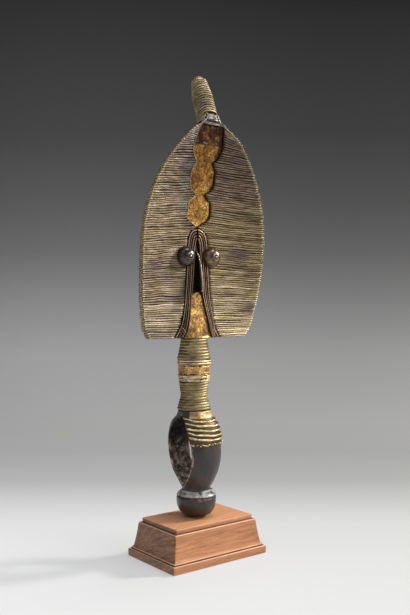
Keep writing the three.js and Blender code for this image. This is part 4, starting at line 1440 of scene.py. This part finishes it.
def brow_wire_path(k):
    """Path and widths of the k-th wire from outside: each arches over the one inside it."""
    height = BROW_TOP - HEAD_BOTTOM - 0.8
    z = HEAD_BOTTOM + 0.6 + height * (1 - (1 - np.linspace(0, 1, 150)) ** 1.6)
    outer, inner = brow_edges(z)
    near_apex = ease(head_share(z), 0.42, 0.46)
    width = blend(outer - inner, BROW_WIDTH, near_apex) / BROW_WIRES
    along = unit(points_at(np.gradient(outer), np.gradient(z)))
    inwards = (k + 0.5) * width
    x = outer - inwards * along[:, 1]
    z = z + inwards * along[:, 0]
    x = x + 0.12 * ripples(points_at(z, 0.0), 9, 40 + k)
    whole = (x > 0.75) & (z > HEAD_BOTTOM + 0.5)
    x, z, width = x[whole], z[whole], width[whole]
    return points_at(x, board_front(x, z) - GAP - BROW_DEPTH / 2, z), width


def brow_mesh(side, word):
    gathering = Gathering()
    for k, tone in enumerate(BROW_TONES):
        path, width = brow_wire_path(k)
        depth = np.clip(width, 1.1, 0.9 * BROW_DEPTH)
        gathering.add_tube(path * [side, 1, 1], FORWARD, width * 0.86, depth, sides=10, tone=tone)
    for start in BINDING_STARTS:
        path = binding_path(HEAD_BOTTOM + start) * [side, 1, 1]
        gathering.add_tube(path, FORWARD, BINDING, BINDING, sides=6, tone=0.9, least_crest=0.5)
    return gathering.build(f"brow_strand_{word}")


def binding_path(middle):
    """A thin wire laid slantwise over the strand just above the chin."""
    share = np.linspace(-0.06, 1.06, 14)
    z = middle + BINDING_SLANT * (share - 0.5)
    outer, inner = brow_edges(z)
    x = blend(inner, outer, share)
    z = np.maximum(z, HEAD_BOTTOM + 0.5)
    sink = 1.9 * np.abs(2 * share - 1) ** 4
    return points_at(x, board_front(x, z) - GAP - BROW_DEPTH + 0.1 + sink, z)


def brow_finish(name, light):
    finish = Finish(name, roughness=0.42, metallic=0.85)
    streaks = finish.noise(3.2, detail=4, rough=0.6, stretch=(1, 1, 3))
    metal = finish.ramp(
        streaks, (0.3, (0.03, 0.021, 0.018)), (0.5, (0.075, 0.048, 0.034)), (0.75, (0.16, 0.11, 0.075))
    )
    polish = finish.times(finish.step(finish.mark("crest"), 0.92, 1.0), finish.mark("tone"))
    metal = finish.tint(finish.mix(polish, metal, (0.46, 0.31, 0.18)), light)
    # Dirt and painted shade darken the grooves between the wires.
    finish.colour(finish.soil_and_shade(metal, (0.022, 0.024, 0.026), 0.78, 0.4, 0.75))
    finish.gloss(streaks, 0.34, 0.5)
    finish.bump(streaks, 0.12, 0.5)
    return finish


# The left strand's copy is painted darker and the right one's lighter: painted shade and painted light.
for side, word, light in ((-1, "left", 0.85), (1, "right", 1.35)):
    dress(brow_mesh(side, word), brow_finish(f"brow_{word}", light), "brow_wire", f"brow_wires_{word}")

# %% [markdown]
# The nose is a thin upright blade whose edge is bright: rubbed metal and a painted highlight. Its
# outline follows the face at its root, and its section narrows to the edge.

# %% Nose blade
NOSE_HEIGHT = 11.0
NOSE_BOTTOM, NOSE_TOP = levels("nose_blade")
NOSE_PROFILE = curve_through([
    [0, 0.9], [0.05, 0.99], [0.25, 0.94], [0.5, 0.8], [0.75, 0.6], [0.93, 0.34], [1, 0.12]
])


def nose_mesh():
    z = np.linspace(NOSE_BOTTOM + 0.1, NOSE_TOP - 0.1, 60)[:, None]
    reach = NOSE_HEIGHT * NOSE_PROFILE((z - NOSE_BOTTOM) / (NOSE_TOP - NOSE_BOTTOM))
    half = [(-0.9, 0.0), (-0.85, 0.35), (-0.72, 0.7), (-0.55, 0.93), (-0.25, 0.99)]
    across = np.array(half + [(-x, depth) for x, depth in half[::-1]])
    root = board_front(0.0, z) - GAP
    rings = points_at(across[:, 0], root - reach * across[:, 1], z)
    # The edge is marked as worn: rubbed metal and a painted highlight.
    edge = np.tile(across[:, 1] > 0.92, len(z)).astype(float)
    return one_body("nose", rings, ring_faces(*rings.shape[:2]), wear=edge)


def iron_finish(name, dark, light):
    finish = Finish(name, roughness=0.36, metallic=0.85)
    clouds = finish.noise(3.2, detail=5, rough=0.65)
    pits = finish.noise(0.8, detail=3, rough=0.7, shift=5.5)
    metal = finish.ramp(clouds, (0.34, dark), (0.7, light))
    metal = finish.mix(finish.step(pits, 0.36, 0.28), metal, (0.02, 0.016, 0.014), amount=0.35)
    finish.colour(finish.mix(finish.mark("wear"), metal, (0.66, 0.52, 0.4)))
    finish.gloss(clouds, 0.36, 0.2)
    finish.bump(finish.plus(pits, clouds), 0.12, 0.45)
    return finish


nose_iron = iron_finish("nose_iron", (0.018, 0.025, 0.028), (0.06, 0.062, 0.06))
dress(nose_mesh(), nose_iron, "dark_iron", "nose_blade")

# %% [markdown]
# ## Eyes
#
# Each eye is a dome of dark metal with a small round hole, and the head of the nail that holds it
# shines in the hole. A profile turned round the eye's own axis gives both.

# %% Eyes
EYE_RADIUS = 9.6
EYE_SINK = 1.9
EYE_HOLE = 2.4
EYE_OUT = 14.6
HOLE_FLOOR = EYE_RADIUS - 1.6


def turned_forward(points, centre):
    """Turns a body that was made upright so that its top looks out of the face."""
    x, y, z = np.moveaxis(points, -1, 0)
    return points_at(x, -z, y) + centre


def eye_profile():
    first = math.asin(EYE_SINK / EYE_RADIUS)
    last = math.acos(EYE_HOLE / EYE_RADIUS) - 0.03
    dome = points_at(*circle(EYE_RADIUS, np.linspace(first, last, 30)))
    rim = [(0.3, EYE_SINK), (EYE_RADIUS * math.cos(first) - 0.6, EYE_SINK)]
    hole = [(EYE_HOLE - 0.15, EYE_RADIUS - 0.42), (EYE_HOLE - 0.3, HOLE_FLOOR + 0.5)]
    hole += [(EYE_HOLE - 0.45, HOLE_FLOOR), (0.3, HOLE_FLOOR)]
    return [*rim, *dome, *hole]


def nail_profile():
    base = HOLE_FLOOR + GAP
    top = EYE_RADIUS + 0.28
    return [(0.2, base), (1.3, base), (1.3, top - 0.75), (1.1, top - 0.35), (0.7, top - 0.1), (0.2, top)]


def eye_meshes(side, word):
    lowest = low(f"eye_dome_{word}")
    highest = high(f"eye_dome_{word}")
    centre = np.array([side * EYE_OUT, highest[1] + EYE_SINK, (lowest[2] + highest[2]) / 2])
    points, faces = lathe(eye_profile(), 64)
    dents = 1 + 0.006 * ripples(points, 5, 90 + side)
    on_rim = points[:, 2] < EYE_SINK + 0.4
    points[:, :2] *= np.where(on_rim, 1.0, dents)[:, None]
    x, y, z = points.T
    to_hole = np.abs(np.hypot(x, y) - EYE_HOLE - 0.5)
    # A bright ring round the hole, strongest on its upper right: worn metal and a painted highlight.
    edge = np.where(z > EYE_RADIUS * 0.5, np.clip(1 - to_hole / 1.1, 0, 1), 0)
    edge = edge * np.clip(0.45 + 0.2 * (x + y), 0, 1)
    dome = one_body(f"eye_{word}", turned_forward(points, centre), faces, wear=0.6 * edge)
    points, faces = lathe(nail_profile(), 24)
    return dome, one_body(f"eye_nail_{word}", turned_forward(points, centre), faces)


def nail_finish():
    finish = Finish("nail_brass", roughness=0.25, metallic=0.95)
    fine = finish.noise(0.8, detail=2)
    finish.colour(finish.ramp(fine, (0.3, (0.2, 0.16, 0.11)), (0.7, (0.5, 0.45, 0.36))))
    finish.bump(fine, 0.05, 0.4)
    return finish


eye_irons = {
    "left": iron_finish("eye_iron_left", (0.04, 0.032, 0.032), (0.13, 0.105, 0.095)),
    "right": iron_finish("eye_iron_right", (0.07, 0.045, 0.03), (0.34, 0.24, 0.15)),
}
nail_brass = nail_finish()
for side, word in ((-1, "left"), (1, "right")):
    dome, nail = eye_meshes(side, word)
    dress(dome, eye_irons[word], "dark_iron", f"eye_dome_{word}")
    dress(nail, nail_brass, "brass_wire", f"eye_pin_{word}")

# %% [markdown]
# ## The neck
#
# Wire is wound tightly round the neck below the chin and above the shoulder. Between the two coils
# sit a flat golden strap with crimped edges, two raised wires above it and two twisted ones below.
# A coil is one long tube on a climbing circle.

# %% Coils
COIL_DEPTH = 1.9
STEPS_A_TURN = 48


def ring_path(angle, radius, z):
    x, y = circle(radius, angle)
    return points_at(x, y + SET_BACK, z)


def outward(angle):
    return points_at(np.cos(angle), np.sin(angle), 0.0)


def coil_mesh(name, bottom, top, pitch, seed):
    """A wire wound round the neck between two heights."""
    turns = round((top - bottom) / pitch)
    pitch = (top - bottom) / turns
    turned = np.linspace(0, turns - 0.001, STEPS_A_TURN * turns)
    angle = 2 * math.pi * turned + 1.2
    climb = np.floor(turned) + ease(np.mod(turned, 1), 0.8, 1.0)
    rise = bottom + pitch * (0.5 + np.minimum(climb, turns - 1))
    spot = points_at(*circle(10, angle), rise * 4)
    rise = np.clip(rise + 0.22 * ripples(spot, 12, seed), bottom + 0.45 * pitch, top - 0.45 * pitch)
    width = pitch * (1.18 + 0.1 * ripples(spot, 14, seed + 1))
    lift = 0.12 * ripples(spot, 9, seed + 2) - 0.1
    path = ring_path(angle, neck_outer(rise) - COIL_DEPTH / 2 + lift, rise)
    points, faces, crest = tube(path, outward(angle), width, COIL_DEPTH, WIRE_SIDES)
    tone = np.clip(np.repeat(0.5 + 0.5 * ripples(spot, 14, seed + 3), WIRE_SIDES), 0, 1)
    open_gap = np.repeat(np.clip(0.2 + 0.6 * ripples(spot, 11, seed + 4), 0.05, 0.9), WIRE_SIDES)
    return one_body(name, points, faces, tone=tone, crest=1 - (1 - crest) * open_gap)


brass_wire = wire_finish("brass_wire", light=1.08, blue=0.86)
bright_wire = wire_finish("bright_wire", light=2.6, dirty=0.95)
lower_coil = coil_mesh("neck_coil_lower", *levels("neck_wire_lower"), 2.35, 101)
dress(lower_coil, brass_wire, "brass_wire", "neck_wire_lower")
upper_coil = coil_mesh("neck_coil_upper", low("neck_wire_upper")[2], HEAD_BOTTOM - 0.4, 2.9, 111)
dress(upper_coil, brass_wire, "brass_wire", "neck_wire_upper")

# %% [markdown]
# Below the strap lie two pairs of thinner wire. Each pair is twisted round itself only near the
# place where its ends were joined, at the front. The raised wires are plain rings.

# %% Twisted and raised wires
JOINED_AT = math.radians(-89)
UPPER_PLY = 1.1
JOIN_WIDTH = 0.62
JOIN_TURNS = 3
ROPE_STEPS = 260
RING_STEPS = 160
NECK_SPOT = 14


def rope_mesh(name, node, seed):
    """Two wires side by side that twist round each other where their ends were joined."""
    bottom, top = levels(node)
    ply = (top - bottom) / 4
    radius = high(node)[0] - 2 * ply - 0.05
    angle = all_round(ROPE_STEPS)
    middle = (bottom + top) / 2 + 0.06 * np.sin(2 * angle + seed)
    from_join = np.angle(np.exp(1j * (angle - JOINED_AT)))
    twist = 2 * math.pi * JOIN_TURNS * ease(from_join, -JOIN_WIDTH / 2, JOIN_WIDTH / 2)
    gathering = Gathering()
    for k, thickness in enumerate((UPPER_PLY, 1.9 - UPPER_PLY)):
        across, up = circle(ply, math.pi / 2 + twist + math.pi * k)
        path = ring_path(angle, radius + across, middle + up)
        thick = 1.8 * ply * thickness
        gathering.add_tube(path, outward(angle), thick, thick, closed=True, tone=1.0 - 0.3 * k)
    return gathering.build(name)


def raised_ring_mesh(name, node, seed):
    bottom, top = levels(node)
    thick = top - bottom - 0.2
    radius = high(node)[0] - thick / 2 - 0.1
    angle = all_round(RING_STEPS)
    wobble = 0.1 * ripples(points_at(*circle(NECK_SPOT, angle)), 10, seed)
    path = ring_path(angle, radius + wobble - 0.1, (bottom + top) / 2 + wobble * 0.6)
    gathering = Gathering()
    gathering.add_tube(path, outward(angle), thick * 0.92, thick * 0.8, sides=10, closed=True, tone=0.95)
    return gathering.build(name)


for i in (1, 2):
    rope = rope_mesh(f"neck_rope_{i}", f"neck_wire_twisted_{i}", 120 + i)
    dress(rope, bright_wire, "brass_wire", f"neck_wire_twisted_{i}")
    ring = raised_ring_mesh(f"neck_raised_wire_{i}", f"neck_wire_raised_{i}", 130 + i)
    dress(ring, bright_wire, "brass_wire", f"neck_wire_raised_{i}")

# %% [markdown]
# The strap is a strip of sheet brass. Along each edge a row of dents was pressed behind a thin rim.

# %% Crimped strap
STRAP_ROWS = 41
STRAP_STEPS = 288
STRAP_THICKNESS = 0.6
# Crimps along the upper and the lower edge, each with the seed of their wander.
CRIMPS = ((12, 141), (11, 142))


def strap_mesh():
    bottom, top = levels("neck_band")
    radius = high("neck_band")[0]
    rows = np.linspace(0, 1, STRAP_ROWS)[:, None]
    angle = all_round(STRAP_STEPS)
    from_edge = np.minimum(rows, 1 - rows) * (top - bottom)
    rim = bell(from_edge, 0.2, 0.35)
    edge = bell(from_edge, 1.1, 0.5)
    fold = bell(from_edge, 2.0, 0.4)
    spot = points_at(*circle(NECK_SPOT, angle))
    crimps = [np.sin(many * angle + 3 * ripples(spot, 12, seed)) for many, seed in CRIMPS]
    crimp = np.where(rows > 0.5, *crimps)
    grid = points_at(*circle(NECK_SPOT, angle), 10 * rows)
    beaten = ripples(grid.reshape(-1, 3), 4, 143).reshape(crimp.shape)
    dent = np.clip(0.6 + 0.9 * crimp, 0, 1) * edge
    outer = radius - 1.1 + 0.6 * rim + 0.3 * fold - 0.5 * dent + 0.07 * beaten
    z = blend(bottom, top, rows) + 0.22 * (rim + edge) * crimp * np.where(rows > 0.5, -1, 1)
    z = np.clip(z, bottom, top)
    layers = [ring_path(angle, outer - thickness, z) for thickness in (0.0, STRAP_THICKNESS)]
    count = crimp.size
    faces = grid_faces(*crimp.shape, round_columns=True)
    faces += [tuple(i + count for i in face) for face in faces]
    for row in (0, len(rows) - 1):
        start = row * len(angle)
        for a in range(start, start + len(angle)):
            b = a + 1 if a + 1 < start + len(angle) else start
            faces.append((a, b, b + count, a + count))
    # The dents get a low crest, which the finish darkens as painted shade in the pressed hollows.
    crest = np.tile(np.clip(1 - 1.15 * dent, 0, 1).ravel(), 2)
    wear = np.tile(np.broadcast_to(0.5 * fold + 0.4 * rim, crimp.shape).ravel(), 2)
    return one_body("neck_strap", layers, faces, crest=crest, wear=wear)


strap_brass = golden_finish("strap_brass", light=1.75, paleness=0.12)
dress(strap_mesh(), strap_brass, "golden_brass", "neck_band")

# %% [markdown]
# ## The topknot's winding
#
# Wire is wound over the topknot in turns that rise towards a line at its left front and fall away
# from it, like the two sides of a herring's backbone. Each turn is a wire of its own that climbs
# steeply to the line, runs level across the front and sinks behind. It is left out where it would
# run into the small plate or the face.

# %% Topknot winding
KNOT_PITCH = 2.45
TURN_STEPS = 97
SEAM_ANGLE = math.radians(-139)
SEAM_RISE = 5.2
LEFT_OF_SEAM = math.radians(84)
FRONT_OF_SEAM = math.radians(100)
SMALL_PLATE_DEPTH = high("topknot_plate")[1]


def rise_at(angle):
    """How far a turn has climbed at an angle: up to the line, level in front of it, down behind."""
    past_seam = np.mod(angle - SEAM_ANGLE, 2 * math.pi)
    before_seam = 2 * math.pi - past_seam
    climbing = 1 - before_seam / LEFT_OF_SEAM
    falling = 1 - (past_seam - FRONT_OF_SEAM) / (2 * math.pi - LEFT_OF_SEAM - FRONT_OF_SEAM)
    share = np.where(before_seam < LEFT_OF_SEAM, climbing, np.minimum(falling, 1))
    return SEAM_RISE * share


def winding_mesh():
    gathering = Gathering()
    random = np.random.default_rng(150)
    turns = round((KNOT_LENGTH - KNOT_TIP + SEAM_RISE) / KNOT_PITCH)
    depth = KNOT_WIRE_DEPTH - 0.1
    angle = math.pi / 2 + np.linspace(0, 2 * math.pi, TURN_STEPS)
    off_seam = np.angle(np.exp(1j * (angle - SEAM_ANGLE)))
    out = leaning(outward(angle)) - KNOT_FOOT
    for i in range(turns + 1):
        along = KNOT_PITCH * (i + 0.5) - SEAM_RISE + rise_at(angle) + random.normal(0, 0.1)
        spot = points_at(*circle(10, angle), 5.0 * i)
        along = along + 0.13 * ripples(spot, 9, 151)
        lift = 0.12 * ripples(spot, 8, 152) - 0.15 + 0.2 * bell(off_seam, 0.0, 0.25) * (i % 2)
        radius = knot_outer(np.maximum(along, 0)) - depth / 2 + lift
        path = leaning(points_at(*circle(radius, angle), along))
        width = KNOT_PITCH * random.uniform(0.66, 0.84)
        tone = random.random()
        for stretch in clear_stretches(path):
            gathering.add_tube(path[stretch], out[stretch], width, depth, tone=tone)
    return gathering.build("topknot_winding")


def clear_stretches(path):
    """Where a turn is clear of the small plate, the face and the winding's own ends, as slices."""
    half = np.array([small_plate_half(z) for z in path[:, 2]])
    behind_plate = (np.abs(path[:, 0]) < half + 0.4) & (path[:, 2] < SMALL_PLATE_TOP + 1.2)
    at_plate = behind_plate & (path[:, 1] < SMALL_PLATE_DEPTH + 1.2)
    in_face = (path[:, 2] < HEAD_TOP - 3) & (path[:, 1] < float(arch_at(HEAD_TOP)) + 2)
    along = (path - KNOT_FOOT) @ np.array([0, math.sin(KNOT_LEAN), math.cos(KNOT_LEAN)])
    clear = ~at_plate & ~in_face & (along < KNOT_LENGTH - KNOT_TIP - 0.8) & (along > -0.5)
    changes = np.diff(np.concatenate([[0], clear, [0]]).astype(int))
    ends = zip(np.flatnonzero(changes == 1), np.flatnonzero(changes == -1))
    return [slice(first, last) for first, last in ends if last - first > 3]


topknot_brass = wire_finish("topknot_brass", light=1.04, blue=0.97, dirty=0.9)
dress(winding_mesh(), topknot_brass, "brass_wire", "topknot_wire")

# %% [markdown]
# The small plate at the topknot's foot is grey sheet with rows of punched dots and a bright raised
# strip along its right edge.

# %% Small plate
DOT_ROWS = 4
DOT_SPACING = 1.9


def small_plate_mesh():
    front, back = low("topknot_plate")[1], high("topknot_plate")[1]
    z = np.linspace(PLATE_TOP + 0.3, SMALL_PLATE_TOP, 60)[:, None]
    half = np.array([small_plate_half(height) for height in z[:, 0]])[:, None]
    x = half * np.linspace(-1, 1, 81)
    dots = np.zeros(x.shape)
    for r in range(DOT_ROWS):
        dot_z = blend(PLATE_TOP + 2.2, SMALL_PLATE_TOP - 1.4, r / (DOT_ROWS - 1))
        for c in range(-2, 3):
            dot_x = DOT_SPACING * (c + (0.5 if r % 2 else 0.0))
            dots += bell(np.hypot(x - dot_x, z - dot_z), 0.0, 0.5)
    dots = dots * (np.abs(x) < 4.6)
    from_side = half - np.abs(x)
    inner_line = bell(from_side, 1.7, 0.45)
    strip = bell(from_side, 0.75, 0.5)
    top_line = bell(z, SMALL_PLATE_TOP - 0.8, 0.4)
    lift = np.clip(0.5 * dots + 0.9 * strip - 0.5 * inner_line + 0.1 * top_line, -0.4, 0.9)
    y = blend(front, back, 0.5) - 0.45 * lift
    wear = np.tile(np.clip(strip + 0.5 * dots, 0, 1).ravel(), 2)
    crest = np.tile(np.clip(1 - 0.8 * inner_line - 0.3 * top_line, 0, 1).ravel(), 2)
    sheet = slab(points_at(x, y, z), points_at(x, back, z))
    return one_body("topknot_small_plate", *sheet, wear=wear, crest=crest)


def tarnished_finish():
    finish = Finish("tarnished_plate", roughness=0.42, metallic=0.85)
    clouds = finish.noise(2.0, detail=4, rough=0.65)
    metal = finish.ramp(
        clouds, (0.3, (0.07, 0.058, 0.042)), (0.55, (0.23, 0.195, 0.145)), (0.75, (0.42, 0.36, 0.27))
    )
    metal = finish.mix(finish.mark("wear"), metal, (0.46, 0.42, 0.36))
    finish.colour(finish.mix(finish.mark("crest"), (0.03, 0.027, 0.024), metal))
    finish.bump(clouds, 0.1, 0.6)
    return finish


dress(small_plate_mesh(), tarnished_finish(), "tarnished_plate", "topknot_plate")

# %% [markdown]
# ## The shoulder of the handle
#
# Wavy ribs of brass cross the front of the shoulder over a crumpled sheet, darkened with dirt and
# painted shade, which a plain wide sheet tops and a row of small staples ends. The ribs were folded
# by hand, so each one wanders.

# %% Ribs and sheet of the shoulder


def angle_at(depth, z, start, end):
    """The angle between two at which the handle's surface reaches a depth."""
    for _ in range(30):
        middle = (start + end) / 2
        past = handle_point(middle, z)[1] > depth
        if past == (handle_point(end, z)[1] > depth):
            end = middle
        else:
            start = middle
    return start


def shoulder_reach(z):
    """Angles at which the wood of the shoulder's front meets the opening at a height."""
    front = -math.pi / 2
    right = angle_at(float(slot_edge(z, True)) - 1.2, z, 0.0, front)
    left = angle_at(float(slot_edge(z, True, -16.0)) - 0.9, z, 0.0, front)
    return right, 2 * front - left


RIB_STEPS = 72
RIB_LIFT = 2.2
RIB_SAG = 0.9
HIGHEST_RIB = high("shoulder_sheet_front")[2] - 9.0
LOWEST_RIB = low("shoulder_beads_front")[2] + 4.0


def rib_mesh(name, node, seed):
    bottom, top = levels(node)
    middle = (bottom + top) / 2
    angle = np.linspace(*shoulder_reach(middle), RIB_STEPS)
    line = points_at(angle * 16, 0.0)
    along = np.linspace(0, 1, RIB_STEPS)
    pulled_up = 2.4 * np.clip((middle - LOWEST_RIB) / (HIGHEST_RIB - LOWEST_RIB), 0, 1) - 0.2
    bow = RIB_LIFT * along**4 - RIB_SAG * np.sin(math.pi * along)
    z = middle + pulled_up + 0.4 * ripples(line, 8, seed) + bow
    width = (top - bottom) * (0.82 + 0.22 * ripples(line, 5, seed + 1))
    to_end = np.minimum(np.arange(RIB_STEPS), np.arange(RIB_STEPS)[::-1])
    taper = np.minimum(1, to_end / 4 + 0.35)
    proud = 0.7 * taper + 0.15 * ripples(line, 6, seed + 2)
    path = handle_point(angle, z, proud)
    out = unit(handle_point(angle, z, proud + 1) - path)
    gathering = Gathering()
    gathering.add_tube(path, out, width * taper, 1.9 * taper, sides=12, tone=0.8)
    return gathering.build(name)


def shoulder_sheet_mesh():
    sheet_bottom, top = levels("shoulder_sheet_front")
    bottom = low("shoulder_beads_front")[2] - 0.4
    outer = []
    inner = []
    crest = []
    for z in blend(bottom, top, np.linspace(0, 1, 54)):
        start, end = shoulder_reach(z)
        end = max(end, math.radians(blend(-156, -143, float(ease(z, sheet_bottom - 4, top)))))
        angle = np.linspace(start, end, RIB_STEPS)
        crumple = ripples(points_at(angle * 18, z * 1.3), 2.8, 161)
        plain = float(ease(z, sheet_bottom + 0.9, sheet_bottom + 2.1))
        outer.append(handle_point(angle, z, 0.42 + 0.16 * crumple * (1 - 0.4 * plain) + 0.3 * plain))
        inner.append(handle_point(angle, z, -0.05))
        # The crumpled part gets a low crest, which the finish darkens as dirt and painted shade between the
        # ribs.
        crest.append(np.clip(0.1 + 0.14 * crumple + 0.85 * plain, 0, 1))
    sheet = slab(np.array(outer), np.array(inner))
    return one_body("shoulder_sheet", *sheet, crest=np.tile(np.ravel(crest), 2))


def rubbed_finish():
    """Brass that hands keep bright on its ridges, over dirt and painted shade in the hollows."""
    finish = Finish("rubbed_brass", roughness=0.3, metallic=0.9)
    clouds = finish.noise(3.0, detail=4, rough=0.6)
    fine = finish.noise(0.8, detail=3, shift=5.0)
    metal = finish.ramp(
        clouds, (0.32, (0.3, 0.21, 0.08)), (0.5, (0.66, 0.52, 0.27)), (0.68, (0.92, 0.84, 0.66))
    )
    finish.colour(finish.soil_and_shade(metal, (0.025, 0.016, 0.012), 0.68, 0.28, 0.92))
    finish.gloss(clouds, 0.5, 0.34)
    finish.bump(finish.plus(clouds, fine), 0.16, 0.6)
    return finish


rubbed_brass = rubbed_finish()
sheet_brass = golden_finish("sheet_brass", light=1.5, paleness=0.3)
dress(shoulder_sheet_mesh(), sheet_brass, "golden_brass", "shoulder_sheet_front")
for i in range(1, 6):
    node = f"shoulder_strip_front_{i}"
    dress(rib_mesh(f"shoulder_rib_{i}", node, 170 + 3 * i), rubbed_brass, "golden_brass", node)

# %% [markdown]
# The staples are short arches of wire, driven in side by side.

# %% Staples
STAPLES = 17


def staples_mesh():
    bottom, top = levels("shoulder_beads_front")
    start, end = shoulder_reach((bottom + top) / 2)
    half = (top - bottom) / 2 + 0.2
    turn = np.linspace(0, math.pi, 9)
    gathering = Gathering()
    random = np.random.default_rng(190)
    for i in range(STAPLES):
        angle = blend(start, end, (i + 0.5) / STAPLES) + random.uniform(-0.04, 0.04)
        lean = random.uniform(-0.07, 0.07)
        middle = (bottom + top) / 2 + random.uniform(-0.7, 0.7)
        z = middle - half * np.cos(turn) * random.uniform(0.3, 0.8)
        proud = 0.1 + random.uniform(0.6, 0.9) * np.sin(turn)
        path = handle_point(angle + lean * np.cos(turn), z, proud)
        side = unit(handle_point(angle + 0.1, z[4]) - handle_point(angle, z[4]))
        out = unit(np.cross(side, np.gradient(path, axis=0)))
        width = random.uniform(0.7, 1.2)
        gathering.add_tube(path, out, width, 0.7, sides=6, tone=random.random(), least_crest=0.35)
    return gathering.build("shoulder_staples")


dress(staples_mesh(), rubbed_brass, "golden_brass", "shoulder_beads_front")

# %% [markdown]
# ## Floor, light and camera
#
# The figure stands on a pale sheet that rises behind it. Its colour holds painted shade: it darkens
# towards the top, as studio paper does when the light falls only on its lower part, and its right half
# is darker. The lower part also has a painted glow, which keeps the shadow on it soft.

# %% Floor and backdrop
CAMERA_AHEAD = (0.6157, 0.7880)
BEND_START = 0.75
BEND = 0.5
PAPER_HALF = 2.6
# Distance along the sheet, then the painted shade of its left and of its right half.
PAPER_SHADES = [
    (-0.2, 0.81, 0.7),
    (0.1, 0.72, 0.59),
    (0.3, 0.42, 0.37),
    (0.5, 0.35, 0.31),
    (0.8, 0.355, 0.29),
    (1.1, 0.33, 0.23),
    (1.26, 0.25, 0.16),
    (1.4, 0.16, 0.104),
    (1.7, 0.067, 0.043),
    (2.1, 0.022, 0.01),
]


def sweep_mesh():
    """A floor that bends up into a backdrop, facing the camera."""
    bend = np.linspace(0, math.pi / 2, 24)[1:]
    floor = [(distance, 0.0) for distance in np.linspace(-1.6, BEND_START, 30)]
    curve = [(BEND_START + BEND * math.sin(angle), BEND * (1 - math.cos(angle))) for angle in bend]
    wall = [(BEND_START + BEND, height) for height in np.linspace(BEND, 2.6, 30)[1:]]
    profile = floor + curve + wall
    ahead = np.array(CAMERA_AHEAD)
    aside = np.array([CAMERA_AHEAD[1], -CAMERA_AHEAD[0]])
    points = []
    for distance, height in profile:
        for offset in (-PAPER_HALF, PAPER_HALF):
            points.append((*(ahead * distance + aside * offset), height))
    faces = [(2 * i, 2 * i + 1, 2 * i + 3, 2 * i + 2) for i in range(len(profile) - 1)]
    mesh = bpy.data.meshes.new("paper")
    mesh.from_pydata(points, [], faces)
    mesh.polygons.foreach_set("use_smooth", [True] * len(faces))
    paper = bpy.data.objects.new("paper", mesh)
    bpy.context.scene.collection.objects.link(paper)
    steps = np.linalg.norm(np.diff(profile, axis=0), axis=1)
    set_mark(paper, "along", np.repeat(np.concatenate([[0], np.cumsum(steps)]) + profile[0][0], 2))
    set_mark(paper, "across", np.tile([-PAPER_HALF, PAPER_HALF], len(profile)))
    return paper


def paper_finish():
    finish = Finish("paper", roughness=0.9)
    finish.set("Specular IOR Level", 0.1)
    first, last = PAPER_SHADES[0][0], PAPER_SHADES[-1][0]
    inputs = {"Value": finish.mark("along"), "From Min": first, "From Max": last}
    share = finish.node("ShaderNodeMapRange", inputs, "Result")
    places = [(row[0] - first) / (last - first) for row in PAPER_SHADES]
    left, right = (finish.ramp(share, *zip(places, (row[k] for row in PAPER_SHADES))) for k in (1, 2))
    # Painted shade: the sheet darkens towards the top and on its right half.
    shade = finish.mix(finish.step(finish.mark("across"), -0.45, 0.45), left, right)
    # Painted glow: the lower part of the sheet gives off a little light of its own.
    painted_glow = finish.times(finish.step(finish.mark("along"), 0.9, 0.3), 0.5)
    finish.colour(finish.mix(painted_glow, shade, 0.0))
    finish.set("Emission Color", shade)
    finish.set("Emission Strength", painted_glow)
    return finish


paper = sweep_mesh()
paper.data.materials.append(paper_finish().material)
print("paper of", len(paper.data.polygons), "strips")

# %% [markdown]
# The photograph was taken level with the middle of the figure, from its left front, with a lens of
# about 46 mm on a frame 36 mm high. The key light stands to the right and above. A large soft one
# in front and a faint one on the left open the shadows, one lights the paper, and one hangs
# overhead.

# %% Camera and lights
CAMERA_PLACE = (-0.4322, -0.5643, 0.2248)
LENS = 45.6


def place_in_scene(name, data, place, rotation):
    thing = bpy.data.objects.new(name, data)
    thing.location = place
    thing.rotation_euler = rotation
    bpy.context.scene.collection.objects.link(thing)
    return thing


def add_camera():
    data = bpy.data.cameras.new("camera")
    data.lens = LENS
    data.sensor_width = 36.0
    data.sensor_fit = "AUTO"
    data.clip_end = 20.0
    heading = math.atan2(CAMERA_AHEAD[1], CAMERA_AHEAD[0]) - math.pi / 2
    camera = place_in_scene("camera", data, CAMERA_PLACE, (math.pi / 2, 0.0, heading))
    bpy.context.scene.camera = camera


def add_light(name, place, target, size, power, colour=(1.0, 1.0, 1.0)):
    data = bpy.data.lights.new(name, "AREA")
    data.shape = "DISK"
    data.size = size
    data.energy = power
    data.color = colour
    aim = np.array(target) - np.array(place)
    yaw = math.atan2(aim[1], aim[0]) - math.pi / 2
    pitch = math.atan2(aim[2], math.hypot(aim[0], aim[1])) + math.pi / 2
    place_in_scene(name, data, place, (pitch, 0.0, yaw))


add_camera()
bpy.context.scene.view_settings.view_transform = "Standard"
FACE = (0.0, 0.0, 0.27)
add_light("key", (2.5, -0.85, 1.75), FACE, 0.5, 88.0, (1.0, 0.98, 0.95))
add_light("front", (0.9, -2.3, 1.0), FACE, 1.4, 21.0, (1.0, 0.97, 0.94))
add_light("fill", (-1.2, -0.5, 0.6), FACE, 1.2, 1.0, (0.93, 0.96, 1.0))
add_light("paper_light", (-1.0, -0.1, 1.8), (0.2, 0.6, 0.0), 1.4, 7.0)
add_light("overhead", (0.3, -0.1, 1.7), (0.0, 0.0, 0.05), 0.8, 15.0)
world = bpy.data.worlds.new("studio")
world.use_nodes = True
sky = world.node_tree.nodes["Background"].inputs
sky["Color"].default_value = (0.8, 0.86, 0.95, 1.0)
sky["Strength"].default_value = 0.2
bpy.context.scene.world = world
print("lights:", [light.name for light in bpy.data.lights])
